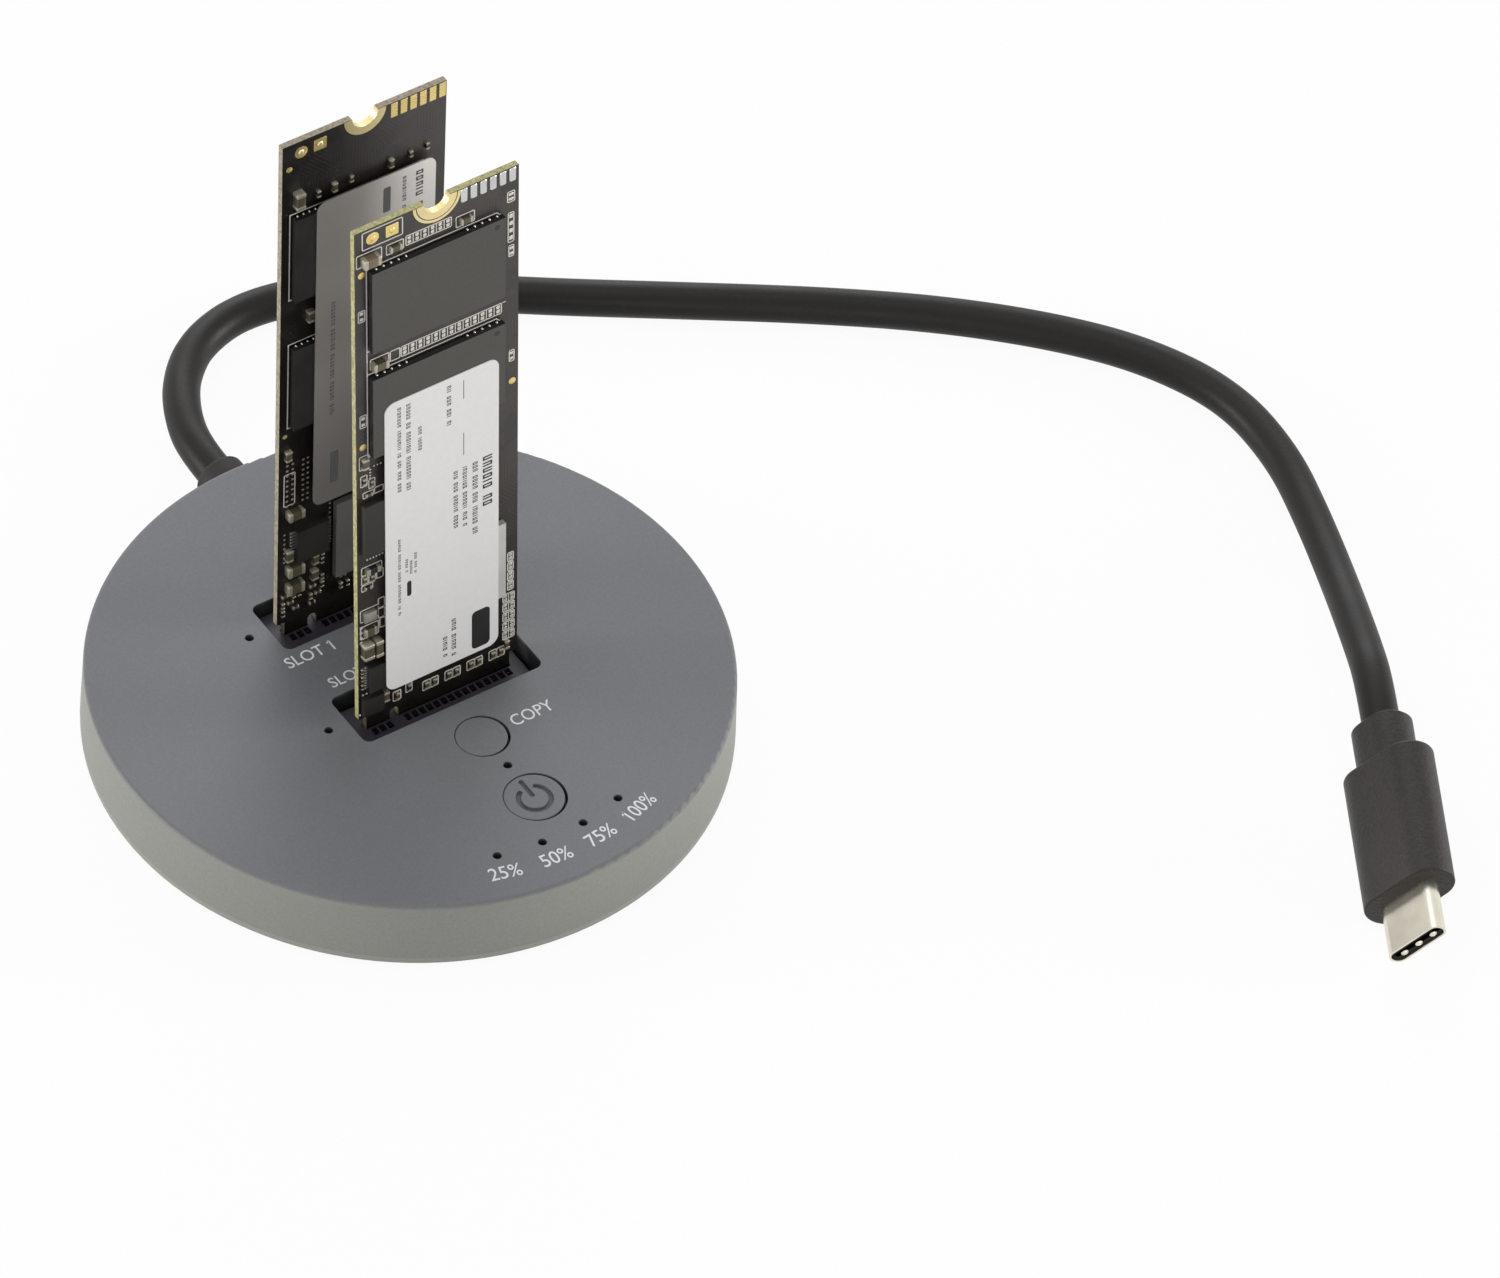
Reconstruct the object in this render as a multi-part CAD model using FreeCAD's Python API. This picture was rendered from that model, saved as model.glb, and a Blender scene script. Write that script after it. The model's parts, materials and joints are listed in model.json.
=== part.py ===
import FreeCAD, Part
import math
import os

# A round docking station that copies one M.2 card to another.
# Millimetres. The origin is the centre of the puck on the table, +Z is up,
# the percentage scale is at -Y and the cord leaves at +Y.

Vector = FreeCAD.Vector

# Heights of the stack
foot_height = 0.5
base_floor = 1.3
standoff_height = 1.2
board_thickness = 1.0
top_height = 9.9
top_wall = 1.5

# Shell
puck_radius = 38.3
puck_flare = 0.25
side_wall = 1.6
edge_round = 0.5
band_height = 1.0
rim_inset = 0.1
lip_thickness = 1.2
lip_height = 1.6
lip_clearance = 0.1
board_clearance = 0.5

# Card slots in the top
slot_end_gap = 0.9
slot_side_gap = 0.8
slot_corner = 1.0
slot_rim_depth = 3.3
slot_rim_wall = 0.9
slot_x = 1.15
source_slot_y = 13.5
target_slot_y = -3.8

# Buttons and lights
control_x = 1.05
copy_button_y = -13.81
power_button_y = -25.05
copy_button_diameter = 6.2
power_button_diameter = 7.2
button_gap = 0.2
button_sink = 0.05
button_edge = 0.25
button_flange = 0.7
button_flange_thickness = 0.6
button_skin = 0.9
button_wall = 0.8
button_travel = 0.3
stop_clearance = 0.05
guide_clearance = 0.3
guide_wall = 0.8
guide_depth = 1.5
light_hole_diameter = 1.1
light_pipe_clearance = 0.08
light_pipe_sink = 0.9
light_foot_diameter = 2.0
light_foot_height = 0.7
light_length = 1.6
light_width = 0.8
light_height = 0.6
lamp_lens_height = 0.2
lamp_lens_share = 0.6
scale_gap = 2.85
scale_step = 10.4
scale_middle = -88.7
scale_count = 4
slot_light_gap = 2.6

# Push switches
switch_side = 4.6
switch_height = 1.6
switch_floor = 0.6
plunger_diameter = 2.3
plunger_proud = 0.5
plunger_clearance = 0.05
stem_diameter = 2.6
switch_corner = 0.4
switch_collar_wall = 0.6
switch_collar_height = 0.15
switch_leg_reach = 0.7
switch_leg_width = 0.6
switch_leg_height = 0.3
switch_leg_spacing = 2.8

# Case screws and feet
screw_count = 4
screw_inset = 7.3
screw_diameter = 2.0
screw_length = 5.5
screw_head_diameter = 3.6
screw_head_height = 1.1
screw_recess = 0.3
screw_clearance = 0.05
boss_diameter = 5.0
standoff_diameter = 6.0
foot_count = 4
foot_diameter = 9.0
foot_inset = 7.3
foot_recess = 0.4
foot_clearance = 0.1
foot_edge = 0.2

# Parts on the main board
chip_bevel = 0.15
controller_side = 10.0
controller_height = 1.0
controller_inset = 10.9
controller_y = 4.5
bridge_side = 8.0
bridge_height = 0.9
bridge_inset = 12.4
bridge_shift = -2.0
memory_width = 5.0
memory_depth = 4.0
memory_height = 1.2
memory_y = -7.0
crystal_width = 3.2
crystal_depth = 2.5
crystal_height = 0.8
crystal_corner = 0.6
inductor_side = 4.2
inductor_height = 2.2
inductor_corner = 0.9
winding_diameter = 3.0
winding_proud = 0.2
inductor_places = [(-22.5, -14.5), (23.5, -13.5), (13.0, 24.0)]
board_capacitor_width = 2.0
board_capacitor_depth = 1.25
board_capacitor_height = 1.2
edge_capacitor_inset = 4.4
left_capacitor_rows = [-12.0, 2.0, 7.0]
right_capacitor_rows = [-9.0, 0.5, 9.0]
inner_capacitor_places = [(-18.0, -16.5), (-17.5, 24.0), (9.0, 25.5), (-9.5, 25.5)]

# Cards
card_width = 22.0
card_length = 80.0
card_thickness = 0.8
tongue_width = 19.85
tongue_length = 4.0
tongue_corner = 0.3
notch_width = 1.2
notch_depth = 3.5
key_m_offset = -6.125
key_b_offset = 5.625
mounting_radius = 1.75
shoulder_gap = 2.0
target_shift_x = 0.09
target_shift_y = -0.18
target_lean = 2.91
target_tilt = -0.664
source_shift_x = -0.02
source_shift_y = 0.2
source_lean = 1.41
source_tilt = -0.214

# Card sockets
socket_height = 3.7
socket_end_wall = 1.37
socket_side_wall = 1.5
socket_corner = 0.4
card_clearance = 0.06
card_side_clearance = 0.15
seat_clearance = 0.03
key_clearance = 0.1
contact_pitch = 1.0
contact_margin = 0.675
contacts_right = 15
contacts_left = 3
cavity_width = 0.75
cavity_length = 1.1
cavity_bar = 0.2
cavity_bar_height = 0.5
contact_width = 0.4
contact_thickness = 0.14
contact_gap = 0.05
contact_foot_inset = 0.25
contact_knee_rise = 1.2
contact_bow_sink = 1.2
contact_tip_sink = 0.2
contact_tip_inset = 0.6
solder_tab_width = 3.0
solder_tab_thickness = 0.25
solder_tab_foot = 0.8
solder_tab_height = 2.2

# Parts on the cards
package_thickness = 0.75
ball_gap = 0.2
ball_inset = 1.0
capacitor_lip = 0.05
capacitor_end_share = 0.25
target_flash_width = 17.9
target_flash_height = 12.1
target_flash_left = 1.75
target_flash_down = 6.2
target_flash_pitch = 16.2
source_flash_width = 18.0
source_flash_height = 12.8
source_flash_left = 1.35
source_flash_down = 11.1
source_flash_pitch = 20.3
label_thickness = 0.12
label_corner = 1.3
target_label_width = 15.4
target_label_left = 3.2
target_label_down = 27.0
target_label_up = 2.7
source_label_width = 16.0
source_label_left = 4.1
source_label_down = 9.8
source_label_up = 18.2
target_controller_left = 8.1
target_controller_up = 10.5
target_controller_side = 11.7
source_controller_left = 7.5
source_controller_up = 4.8
source_controller_side = 12.0
resistor_count = 4
resistor_left = 8.7
resistor_up = 0.7
resistor_step = 3.07
resistor_pair_step = 1.15
resistor_width = 0.8
resistor_height = 1.4
resistor_thickness = 0.35

# Parts near a card's top. Each is left, down, width, height and thickness.
target_memory = (0.5, 41.6, 7.4, 8.0, 0.95)
target_upper_capacitors = [
    (0.4, 3.7, 3.0, 1.5, 1.5), (4.5, 3.9, 1.8, 1.0, 0.7), (13.8, 4.2, 2.0, 1.1, 0.8),
    (1.9, 20.2, 2.6, 1.4, 1.2), (0.6, 34.6, 0.9, 1.6, 0.6),
]
source_upper_capacitors = [
    (1.4, 7.0, 1.5, 3.0, 1.2), (6.6, 8.2, 0.8, 1.6, 0.6), (14.2, 8.2, 0.8, 1.6, 0.6),
    (3.4, 26.6, 1.0, 1.8, 0.7), (0.7, 47.8, 0.9, 1.6, 0.6),
]

# Parts near a card's shoulder. Each is left, up, width, height and thickness.
target_power_chips = [(1.1, 4.4, 2.5, 4.0, 0.9), (0.3, 0.8, 2.8, 2.6, 0.8)]
target_lower_capacitors = [
    (0.6, 13.2, 1.7, 1.9, 0.6), (0.2, 9.4, 1.5, 2.5, 1.3), (1.8, 9.4, 1.3, 2.5, 1.3),
    (3.4, 1.4, 0.9, 1.6, 0.5),
]
source_power_chip = (2.2, 9.8, 4.4, 5.0, 0.9)
source_lower_capacitors = [
    (1.0, 17.0, 2.2, 1.4, 1.0), (0.9, 10.2, 1.0, 1.8, 0.7), (1.0, 7.8, 2.3, 1.6, 1.0),
    (1.0, 4.9, 2.3, 1.5, 1.0), (4.6, 7.9, 0.9, 1.6, 0.6), (4.4, 5.5, 1.0, 1.6, 0.7),
]

# Cord and its ends
cord_diameter = 4.6
gland_height = 4.8
gland_collar_diameter = 6.3
gland_collar_reach = 3.7
gland_collar_round = 0.5
gland_neck_diameter = 5.2
gland_inner_width = 7.6
gland_inner_thickness = 1.4
gland_inner_round = 0.8
gland_head_room = 0.3
gland_lap = 0.3
gland_clearance = 0.05
tail_length = 3.0
tail_clearance = 0.5
wire_diameter = 0.8
wire_count = 5
wire_pitch = 0.9
header_length = 7.0
header_depth = 4.0
header_height = 3.0
header_gap = 3.2
header_corner = 0.3
header_slot_width = 0.8
header_slot_inset = 0.8
header_slot_shift = -0.6
plug_yaw = -117.69
plug_pitch = 7.6
plug_roll = 50.8
plug_mouth_x = 78.8
plug_mouth_y = -93.16
plug_body_width = 12.35
plug_body_height = 6.5
plug_body_length = 18.65
plug_body_round = 0.5
plug_front_round = 0.25
plug_boot_width = 7.8
plug_boot_height = 6.0
plug_boot_length = 5.9
plug_shell_width = 8.25
plug_shell_height = 2.4
plug_shell_wall = 0.25
plug_shell_reach = 6.65
plug_shell_seat = 2.5
plug_insert_sink = 0.3
plug_insert_clearance = 0.02
plug_tongue_gap = 0.75
plug_tongue_width = 6.9
plug_tongue_depth = 5.0
plug_spring_count = 3
plug_spring_pitch = 2.3
plug_spring_width = 0.5
plug_spring_share = 0.6
plug_spring_sink = 0.3

# Heights and radii worked out from the stack
base_top = foot_height + base_floor
board_bottom = base_top + standoff_height
board_top = board_bottom + board_thickness
parting_height = foot_height + band_height
ceiling = top_height - top_wall
cavity_radius = puck_radius - side_wall
lip_radius = cavity_radius - lip_clearance
board_radius = lip_radius - lip_thickness - board_clearance
screw_circle = puck_radius - screw_inset
foot_circle = puck_radius - foot_inset
scale_radius = power_button_diameter / 2 - power_button_y + scale_gap
controller_x = controller_inset - board_radius
bridge_x = board_radius - bridge_inset
wall_radius = puck_radius + puck_flare
collar_end = wall_radius + gland_collar_reach
plunger_top = board_top + switch_height + plunger_proud

# Places worked out for the cards and their sockets
largest_lean = max(target_lean, source_lean)
largest_tilt = max(abs(target_tilt), abs(source_tilt))
board_above = card_length - tongue_length
socket_top = board_top + socket_height
shoulder_height = socket_top + shoulder_gap
corner_drop = tongue_width / 2 * math.sin(math.radians(largest_tilt))
face_drop = card_thickness * math.sin(math.radians(largest_lean))
socket_floor = shoulder_height - tongue_length - corner_drop - face_drop - seat_clearance
lean_room = (socket_top - socket_floor) * math.sin(math.radians(largest_lean))
card_gap = card_thickness + lean_room + 2 * card_clearance
socket_length = tongue_width + 2 * card_side_clearance + 2 * socket_end_wall
socket_width = card_gap + 2 * (cavity_bar + cavity_length + socket_side_wall)
contact_reach = tongue_width / 2 - contact_margin
target_label_height = board_above - target_label_down - target_label_up
source_label_height = board_above - source_label_down - source_label_up
slot_length = socket_length + 2 * slot_end_gap
slot_width = socket_width + 2 * slot_side_gap
target_card_x = slot_x + target_shift_x
target_card_y = target_slot_y + target_shift_y
source_card_x = slot_x + source_shift_x
source_card_y = source_slot_y + source_shift_y

# Places worked out for the cord and the plug
cord_radius = cord_diameter / 2
inner_end = cavity_radius - gland_clearance - gland_inner_thickness
tail_end = inner_end - tail_length
header_y = tail_end - header_gap - header_depth / 2
plug_front = -plug_shell_reach
plug_back = plug_front - plug_body_length
plug_boot_end = plug_back - plug_boot_length

# Route of the cord's centre line, from the collar to the plug's boot
cord_route = [
    (0.0, collar_end, gland_height), (0.0, 47.5, gland_height), (2.0, 53.5, 4.2), (5.5, 59.5, 3.3),
    (11.0, 64.5, 2.6), (19.0, 66.8, 2.3), (29.0, 64.5, 2.3), (39.5, 58.5, 2.3),
    (51.5, 50.0, 2.3), (65.0, 41.2, 2.3), (79.0, 32.0, 2.3), (91.5, 22.8, 2.3),
    (102.0, 13.0, 2.3), (109.5, 3.5, 2.3), (114.0, -7.5, 2.3), (113.5, -19.0, 2.3),
    (110.0, -30.0, 2.9), (105.0, -42.0, 5.0), (99.5, -53.5, 8.0),
]
plug_run_in = 6.5


def cylinder(radius, bottom, top, x=0.0, y=0.0):
    return Part.makeCylinder(radius, top - bottom, Vector(x, y, bottom))


def block(width, depth, bottom, top, x=0.0, y=0.0):
    corner = Vector(x - width / 2, y - depth / 2, bottom)
    return Part.makeBox(width, depth, top - bottom, corner)


def joined(shapes):
    whole = shapes[0]
    for shape in shapes[1:]:
        whole = whole.fuse(shape)
    return whole.removeSplitter()


def polygon_face(points):
    closed = [Vector(*point) for point in points]
    closed.append(closed[0])
    return Part.Face(Part.makePolygon(closed))


def turned(profile):
    """Turn a closed outline of (radius, height) points about the Z axis."""
    face = polygon_face([(radius, 0, height) for radius, height in profile])
    return face.revolve(Vector(0, 0, 0), Vector(0, 0, 1), 360)


def rounded_outline(width, height, corner):
    """Rounded rectangle round the origin in the XY plane."""
    x = width / 2 - corner
    y = height / 2 - corner
    slant = corner * math.sqrt(0.5)
    edges = []
    corners = ((x, y, 1, 1, 0), (-x, y, -1, 1, 1), (-x, -y, -1, -1, 0), (x, -y, 1, -1, 1))
    ends = []
    for cx, cy, sx, sy, swapped in corners:
        first = Vector(cx + sx * corner, cy, 0)
        last = Vector(cx, cy + sy * corner, 0)
        middle = Vector(cx + sx * slant, cy + sy * slant, 0)
        if swapped:
            first, last = last, first
        edges.append(Part.Arc(first, middle, last).toShape())
        ends.append((first, last))
    for index in range(4):
        start = ends[index][1]
        stop = ends[(index + 1) % 4][0]
        if start.distanceToPoint(stop) > 1e-6:
            edges.append(Part.LineSegment(start, stop).toShape())
    return Part.Wire(Part.__sortEdges__(edges))


def rounded_plate(width, depth, corner, bottom, top, x=0.0, y=0.0):
    face = Part.Face(rounded_outline(width, depth, corner))
    face.translate(Vector(x, y, bottom))
    return face.extrude(Vector(0, 0, top - bottom))


def around(count, radius, first_angle=0.0):
    """Places evenly spaced on a circle."""
    places = []
    for index in range(count):
        angle = math.radians(first_angle + 360.0 * index / count)
        places.append((radius * math.cos(angle), radius * math.sin(angle)))
    return places


screw_places = around(screw_count, screw_circle, 45.0)
foot_places = around(foot_count, foot_circle)
slot_rows = (source_slot_y, target_slot_y)
bridge_rows = (source_slot_y + bridge_shift, target_slot_y + bridge_shift)


def scale_light_places():
    places = []
    for index in range(scale_count):
        angle = math.radians(scale_middle + (index - (scale_count - 1) / 2) * scale_step)
        places.append((scale_radius * math.cos(angle), scale_radius * math.sin(angle)))
    return places


def light_places():
    """The scale, one light between the buttons and one at the left of each slot."""
    places = scale_light_places()
    upper_edge = copy_button_y - copy_button_diameter / 2
    lower_edge = power_button_y + power_button_diameter / 2
    places.append((control_x, (upper_edge + lower_edge) / 2))
    for row in slot_rows:
        places.append((slot_x - slot_length / 2 - slot_light_gap, row))
    return places


buttons = (
    ("copy", copy_button_diameter / 2, copy_button_y),
    ("power", power_button_diameter / 2, power_button_y),
)


# Shell

def cover_body():
    rim = puck_radius - edge_round
    slant = edge_round * math.sqrt(0.5)
    top_arc = Part.Arc(
        Vector(rim, 0, top_height),
        Vector(rim + slant, 0, top_height - edge_round + slant),
        Vector(puck_radius, 0, top_height - edge_round),
    ).toShape()
    corners = [
        (puck_radius, top_height - edge_round), (wall_radius, parting_height),
        (cavity_radius, parting_height), (cavity_radius, ceiling), (0, ceiling),
        (0, top_height), (rim, top_height),
    ]
    lines = Part.makePolygon([Vector(r, 0, z) for r, z in corners]).Edges
    face = Part.Face(Part.Wire([top_arc] + lines))
    return face.revolve(Vector(0, 0, 0), Vector(0, 0, 1), 360)


def slot_rims():
    length = slot_length + 2 * slot_rim_wall
    width = slot_width + 2 * slot_rim_wall
    low = top_height - slot_rim_depth
    return [rounded_plate(length, width, slot_corner + slot_rim_wall, low, ceiling, slot_x, row)
            for row in slot_rows]


def button_guides():
    guides = []
    for name, radius, row in buttons:
        bore = radius + button_gap + button_flange + guide_clearance
        low = ceiling - guide_depth
        ring = cylinder(bore + guide_wall, low, ceiling, control_x, row)
        guides.append(ring.cut(cylinder(bore, low, ceiling, control_x, row)))
    return guides


def cord_opening(inner, outer, clearance):
    """Arched opening in the side wall, open down to the parting line."""
    radius = gland_neck_diameter / 2 + clearance
    arch = Part.makeCylinder(radius, outer - inner, Vector(0, inner, gland_height), Vector(0, 1, 0))
    base = Vector(-radius, inner, parting_height)
    leg = Part.makeBox(2 * radius, outer - inner, gland_height - parting_height, base)
    return arch.fuse(leg).removeSplitter()


def make_top_cover():
    cover = cover_body()
    bosses = [cylinder(boss_diameter / 2, board_top, ceiling, x, y) for x, y in screw_places]
    cover = joined([cover] + bosses + slot_rims() + button_guides())
    low = top_height - slot_rim_depth
    cuts = [rounded_plate(slot_length, slot_width, slot_corner, low, top_height, slot_x, row)
            for row in slot_rows]
    for name, radius, row in buttons:
        cuts.append(cylinder(radius + button_gap, ceiling, top_height, control_x, row))
    for x, y in light_places():
        cuts.append(cylinder(light_hole_diameter / 2, ceiling - guide_depth, top_height, x, y))
    bore = screw_diameter / 2 + screw_clearance
    reach = foot_height + screw_recess + screw_head_height + screw_length + stop_clearance
    for x, y in screw_places:
        cuts.append(cylinder(bore, board_top, reach, x, y))
    reach = gland_lap + gland_clearance
    cuts.append(cord_opening(cavity_radius - reach, wall_radius + reach, gland_clearance))
    return cover.cut(Part.makeCompound(cuts))


def base_body():
    low_radius = wall_radius - 2 * rim_inset
    high_radius = wall_radius - rim_inset / 3
    lip_inner = lip_radius - lip_thickness
    return turned([
        (0, foot_height), (low_radius, foot_height), (high_radius, foot_height + 2 * rim_inset),
        (high_radius, parting_height), (lip_radius, parting_height),
        (lip_radius, parting_height + lip_height), (lip_inner, parting_height + lip_height),
        (lip_inner, base_top), (0, base_top),
    ])


def make_bottom_cover():
    base = base_body()
    posts = [cylinder(standoff_diameter / 2, base_top, board_bottom, x, y) for x, y in screw_places]
    base = joined([base] + posts)
    head_low = foot_height + screw_recess
    cuts = []
    for x, y in screw_places:
        cuts.append(cylinder(screw_diameter / 2 + screw_clearance, foot_height, board_bottom, x, y))
        head_radius = screw_head_diameter / 2 + 2 * screw_clearance
        cuts.append(cylinder(head_radius, foot_height, head_low + screw_head_height, x, y))
    for x, y in foot_places:
        pocket = foot_diameter / 2 + foot_clearance
        cuts.append(cylinder(pocket, foot_height, foot_height + foot_recess, x, y))
    cuts.append(block(gland_inner_width + 2 * gland_clearance, 4 * lip_thickness, parting_height,
                      parting_height + lip_height, 0, lip_radius))
    return base.cut(Part.makeCompound(cuts))


def make_case_screws():
    low = foot_height + screw_recess
    neck = low + screw_head_height
    screws = []
    for x, y in screw_places:
        head = cylinder(screw_head_diameter / 2, low, neck, x, y)
        shank = cylinder(screw_diameter / 2, neck, neck + screw_length, x, y)
        screws.append(joined([head, shank]))
    return Part.makeCompound(screws)


def make_foot_pads():
    radius = foot_diameter / 2
    top = foot_height + foot_recess
    pads = []
    for x, y in foot_places:
        pad = turned([(0, 0), (radius - foot_edge, 0), (radius, foot_edge), (radius, top), (0, top)])
        pad.translate(Vector(x, y, 0))
        pads.append(pad)
    return Part.makeCompound(pads)


# Main board and what sits on it

def make_main_board():
    board = cylinder(board_radius, board_bottom, board_top)
    cuts = [cylinder(screw_diameter / 2 + 2 * screw_clearance, board_bottom, board_top, x, y)
            for x, y in screw_places]
    low = tail_end - tail_clearance
    bay = cylinder(board_radius, board_bottom, board_top)
    cuts.append(bay.common(block(gland_inner_width + 2 * tail_clearance, 2 * (board_radius - low),
                                 board_bottom, board_top, 0, board_radius)))
    return board.cut(Part.makeCompound(cuts))


def chip(width, depth, height, x, y):
    """Flat package with a small chamfer round its upper edge."""
    body = block(width, depth, board_top, board_top + height, x, y)
    edges = [edge for edge in body.Edges
             if min(v.Z for v in edge.Vertexes) > board_top + height - 1e-6]
    return body.makeChamfer(chip_bevel, edges)


def make_copy_controller():
    return chip(controller_side, controller_side, controller_height, controller_x, controller_y)


def make_bridge_chips():
    chips = [chip(bridge_side, bridge_side, bridge_height, bridge_x, row) for row in bridge_rows]
    return Part.makeCompound(chips)


def make_program_memory():
    return chip(memory_width, memory_depth, memory_height, controller_x, memory_y)


def make_crystal():
    """Metal can halfway between the two bridge chips."""
    middle = sum(bridge_rows) / 2
    return rounded_plate(crystal_width, crystal_depth, crystal_corner, board_top,
                         board_top + crystal_height, bridge_x, middle)


def make_power_inductors():
    top = board_top + inductor_height
    coils = []
    for x, y in inductor_places:
        case = rounded_plate(inductor_side, inductor_side, inductor_corner, board_top, top, x, y)
        winding = cylinder(winding_diameter / 2, top, top + winding_proud, x, y)
        coils.append(case.fuse(winding).removeSplitter())
    return Part.makeCompound(coils)


def make_board_capacitors():
    size = (board_capacitor_width, board_capacitor_depth, board_capacitor_height)
    column = board_radius - edge_capacitor_inset
    places = [(-column, row) for row in left_capacitor_rows]
    places += [(column, row) for row in right_capacitor_rows]
    places += inner_capacitor_places
    return Part.makeCompound([chip(*size, x, y) for x, y in places])


def make_status_lights():
    """Small lamps under the light pipes, each with a raised lens."""
    top = board_top + light_height
    lamps = []
    for x, y in light_places():
        case = block(light_length, light_width, board_top, top - lamp_lens_height, x, y)
        lens = block(light_length * lamp_lens_share, light_width, top - lamp_lens_height, top, x, y)
        lamps.append(case.fuse(lens).removeSplitter())
    return Part.makeCompound(lamps)


def make_light_pipes():
    foot_low = board_top + light_height
    foot_high = foot_low + light_foot_height
    stem = light_hole_diameter / 2 - light_pipe_clearance
    pipes = []
    for x, y in light_places():
        foot = cylinder(light_foot_diameter / 2, foot_low, foot_high, x, y)
        pipe = cylinder(stem, foot_high, top_height - light_pipe_sink, x, y)
        pipes.append(foot.fuse(pipe).removeSplitter())
    return Part.makeCompound(pipes)


# Buttons and their switches

def make_button(radius, row):
    """Flush cap with a flange below the top wall and a stem to the switch."""
    face = top_height - button_sink
    flange_top = ceiling - stop_clearance
    flange_low = flange_top - button_flange_thickness
    flange_radius = radius + button_gap + button_flange
    stem = stem_diameter / 2
    cap = turned([
        (0, face), (radius - button_edge, face), (radius, face - button_edge),
        (radius, flange_top), (flange_radius, flange_top), (flange_radius, flange_low),
        (radius - button_wall, flange_low), (radius - button_wall, face - button_skin),
        (stem, face - button_skin), (stem, plunger_top), (0, plunger_top),
    ])
    cap.translate(Vector(control_x, row, 0))
    return cap


def make_switch_body(row):
    """Square switch body with a raised collar, four legs and a bore for the plunger."""
    top = board_top + switch_height
    body = block(switch_side, switch_side, board_top, top, control_x, row)
    upright = [edge for edge in body.Edges if abs(edge.Vertexes[0].Z - edge.Vertexes[-1].Z) > 0.1]
    body = body.makeFillet(switch_corner, upright)
    collar_radius = plunger_diameter / 2 + switch_collar_wall
    collar = cylinder(collar_radius, top, top + switch_collar_height, control_x, row)
    legs = []
    for end in (-1, 1):
        legs.append(block(switch_side + 2 * switch_leg_reach, switch_leg_width, board_top,
                          board_top + switch_leg_height, control_x,
                          row + end * switch_leg_spacing / 2))
    bore = cylinder(plunger_diameter / 2 + plunger_clearance, board_top + switch_floor,
                    top + switch_collar_height, control_x, row)
    return joined([body, collar] + legs).cut(bore)


def make_switch_plunger(row):
    low = board_top + switch_floor + button_travel + 2 * stop_clearance
    return cylinder(plunger_diameter / 2, low, plunger_top, control_x, row)


# Card sockets

def contact_places():
    """Distances of the contacts from the middle of the card, along the slot."""
    right = [contact_reach - index * contact_pitch for index in range(contacts_right)]
    left = [-contact_reach + index * contact_pitch for index in range(contacts_left)]
    return left + right


def cavity_cutter(side, offset):
    """Window beside the slot, joined to it under a bar that stays at the top."""
    gap = card_gap / 2
    near = gap + cavity_bar
    far = near + cavity_length
    under_bar = socket_top - cavity_bar_height
    inner = gap - card_clearance
    outline = [
        (inner, board_top), (far, board_top), (far, socket_top), (near, socket_top),
        (near, under_bar), (inner, under_bar),
    ]
    face = polygon_face([(offset - cavity_width / 2, side * y, z) for y, z in outline])
    return face.extrude(Vector(cavity_width, 0, 0))


def socket_housing():
    body = rounded_plate(socket_length, socket_width, socket_corner, board_top, socket_top)
    slot = block(tongue_width + 2 * card_side_clearance, card_gap, socket_floor, socket_top)
    rib = block(notch_width - 2 * key_clearance, card_gap, socket_floor, socket_top, key_m_offset)
    cuts = [slot.cut(rib)]
    for offset in contact_places():
        cuts.append(cavity_cutter(-1, offset))
        cuts.append(cavity_cutter(1, offset))
    return body.cut(Part.makeCompound(cuts))


def socket_contacts():
    """Bent springs, one in each window, that lean towards the card."""
    wall = card_gap / 2 + cavity_bar + cavity_length
    foot = wall - contact_foot_inset
    half = contact_thickness / 2
    bow = card_thickness / 2 + contact_gap + half
    path = [
        (foot, board_top), (foot, board_top + contact_knee_rise),
        (bow, socket_top - contact_bow_sink),
        (wall - contact_tip_inset, socket_top - contact_tip_sink),
    ]
    outline = [(y + half, z) for y, z in path] + [(y - half, z) for y, z in reversed(path)]
    springs = []
    for offset in contact_places():
        for side in (-1, 1):
            face = polygon_face([(offset - contact_width / 2, side * y, z) for y, z in outline])
            springs.append(face.extrude(Vector(contact_width, 0, 0)))
    return Part.makeCompound(springs)


def socket_tabs():
    """Metal tabs at the two ends that are soldered to the board."""
    tabs = []
    for side in (-1, 1):
        face = side * socket_length / 2
        upright = block(solder_tab_thickness, solder_tab_width, board_top,
                        board_top + solder_tab_height, face + side * solder_tab_thickness / 2, 0)
        foot = block(solder_tab_foot, solder_tab_width, board_top,
                     board_top + solder_tab_thickness, face + side * solder_tab_foot / 2, 0)
        tabs.append(upright.fuse(foot).removeSplitter())
    return Part.makeCompound(tabs)


def socket_place(card_x, card_y, lean):
    """Middle of a socket: where the card's mid plane is, halfway down its insertion."""
    depth = shoulder_height - (socket_top + socket_floor) / 2
    back = card_thickness / 2 - depth * math.tan(math.radians(lean))
    return Vector(card_x, card_y + back, 0)


def placed_socket(shape, card_x, card_y, lean):
    moved = shape.copy()
    moved.translate(socket_place(card_x, card_y, lean))
    return moved


# Cards. They are drawn upright: x across, front face at y = 0, shoulder at z = 0.

def card_place(shape, x, y, lean, tilt):
    """Lean a card back, tilt it sideways and stand it in its socket."""
    moved = shape.copy()
    moved.rotate(Vector(0, 0, 0), Vector(1, 0, 0), -lean)
    moved.rotate(Vector(0, 0, 0), Vector(0, 1, 0), tilt)
    moved.translate(Vector(x, y, shoulder_height))
    return moved


def target_card(shape):
    return card_place(shape, target_card_x, target_card_y, target_lean, target_tilt)


def source_card(shape):
    return card_place(shape, source_card_x, source_card_y, source_lean, source_tilt)


def card_box(left, down, width, height, low, high):
    """Box on the card's front face, placed from the card's upper left corner."""
    x = left - card_width / 2
    z = board_above - down - height
    return Part.makeBox(width, high - low, height, Vector(x, -high, z))


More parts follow.
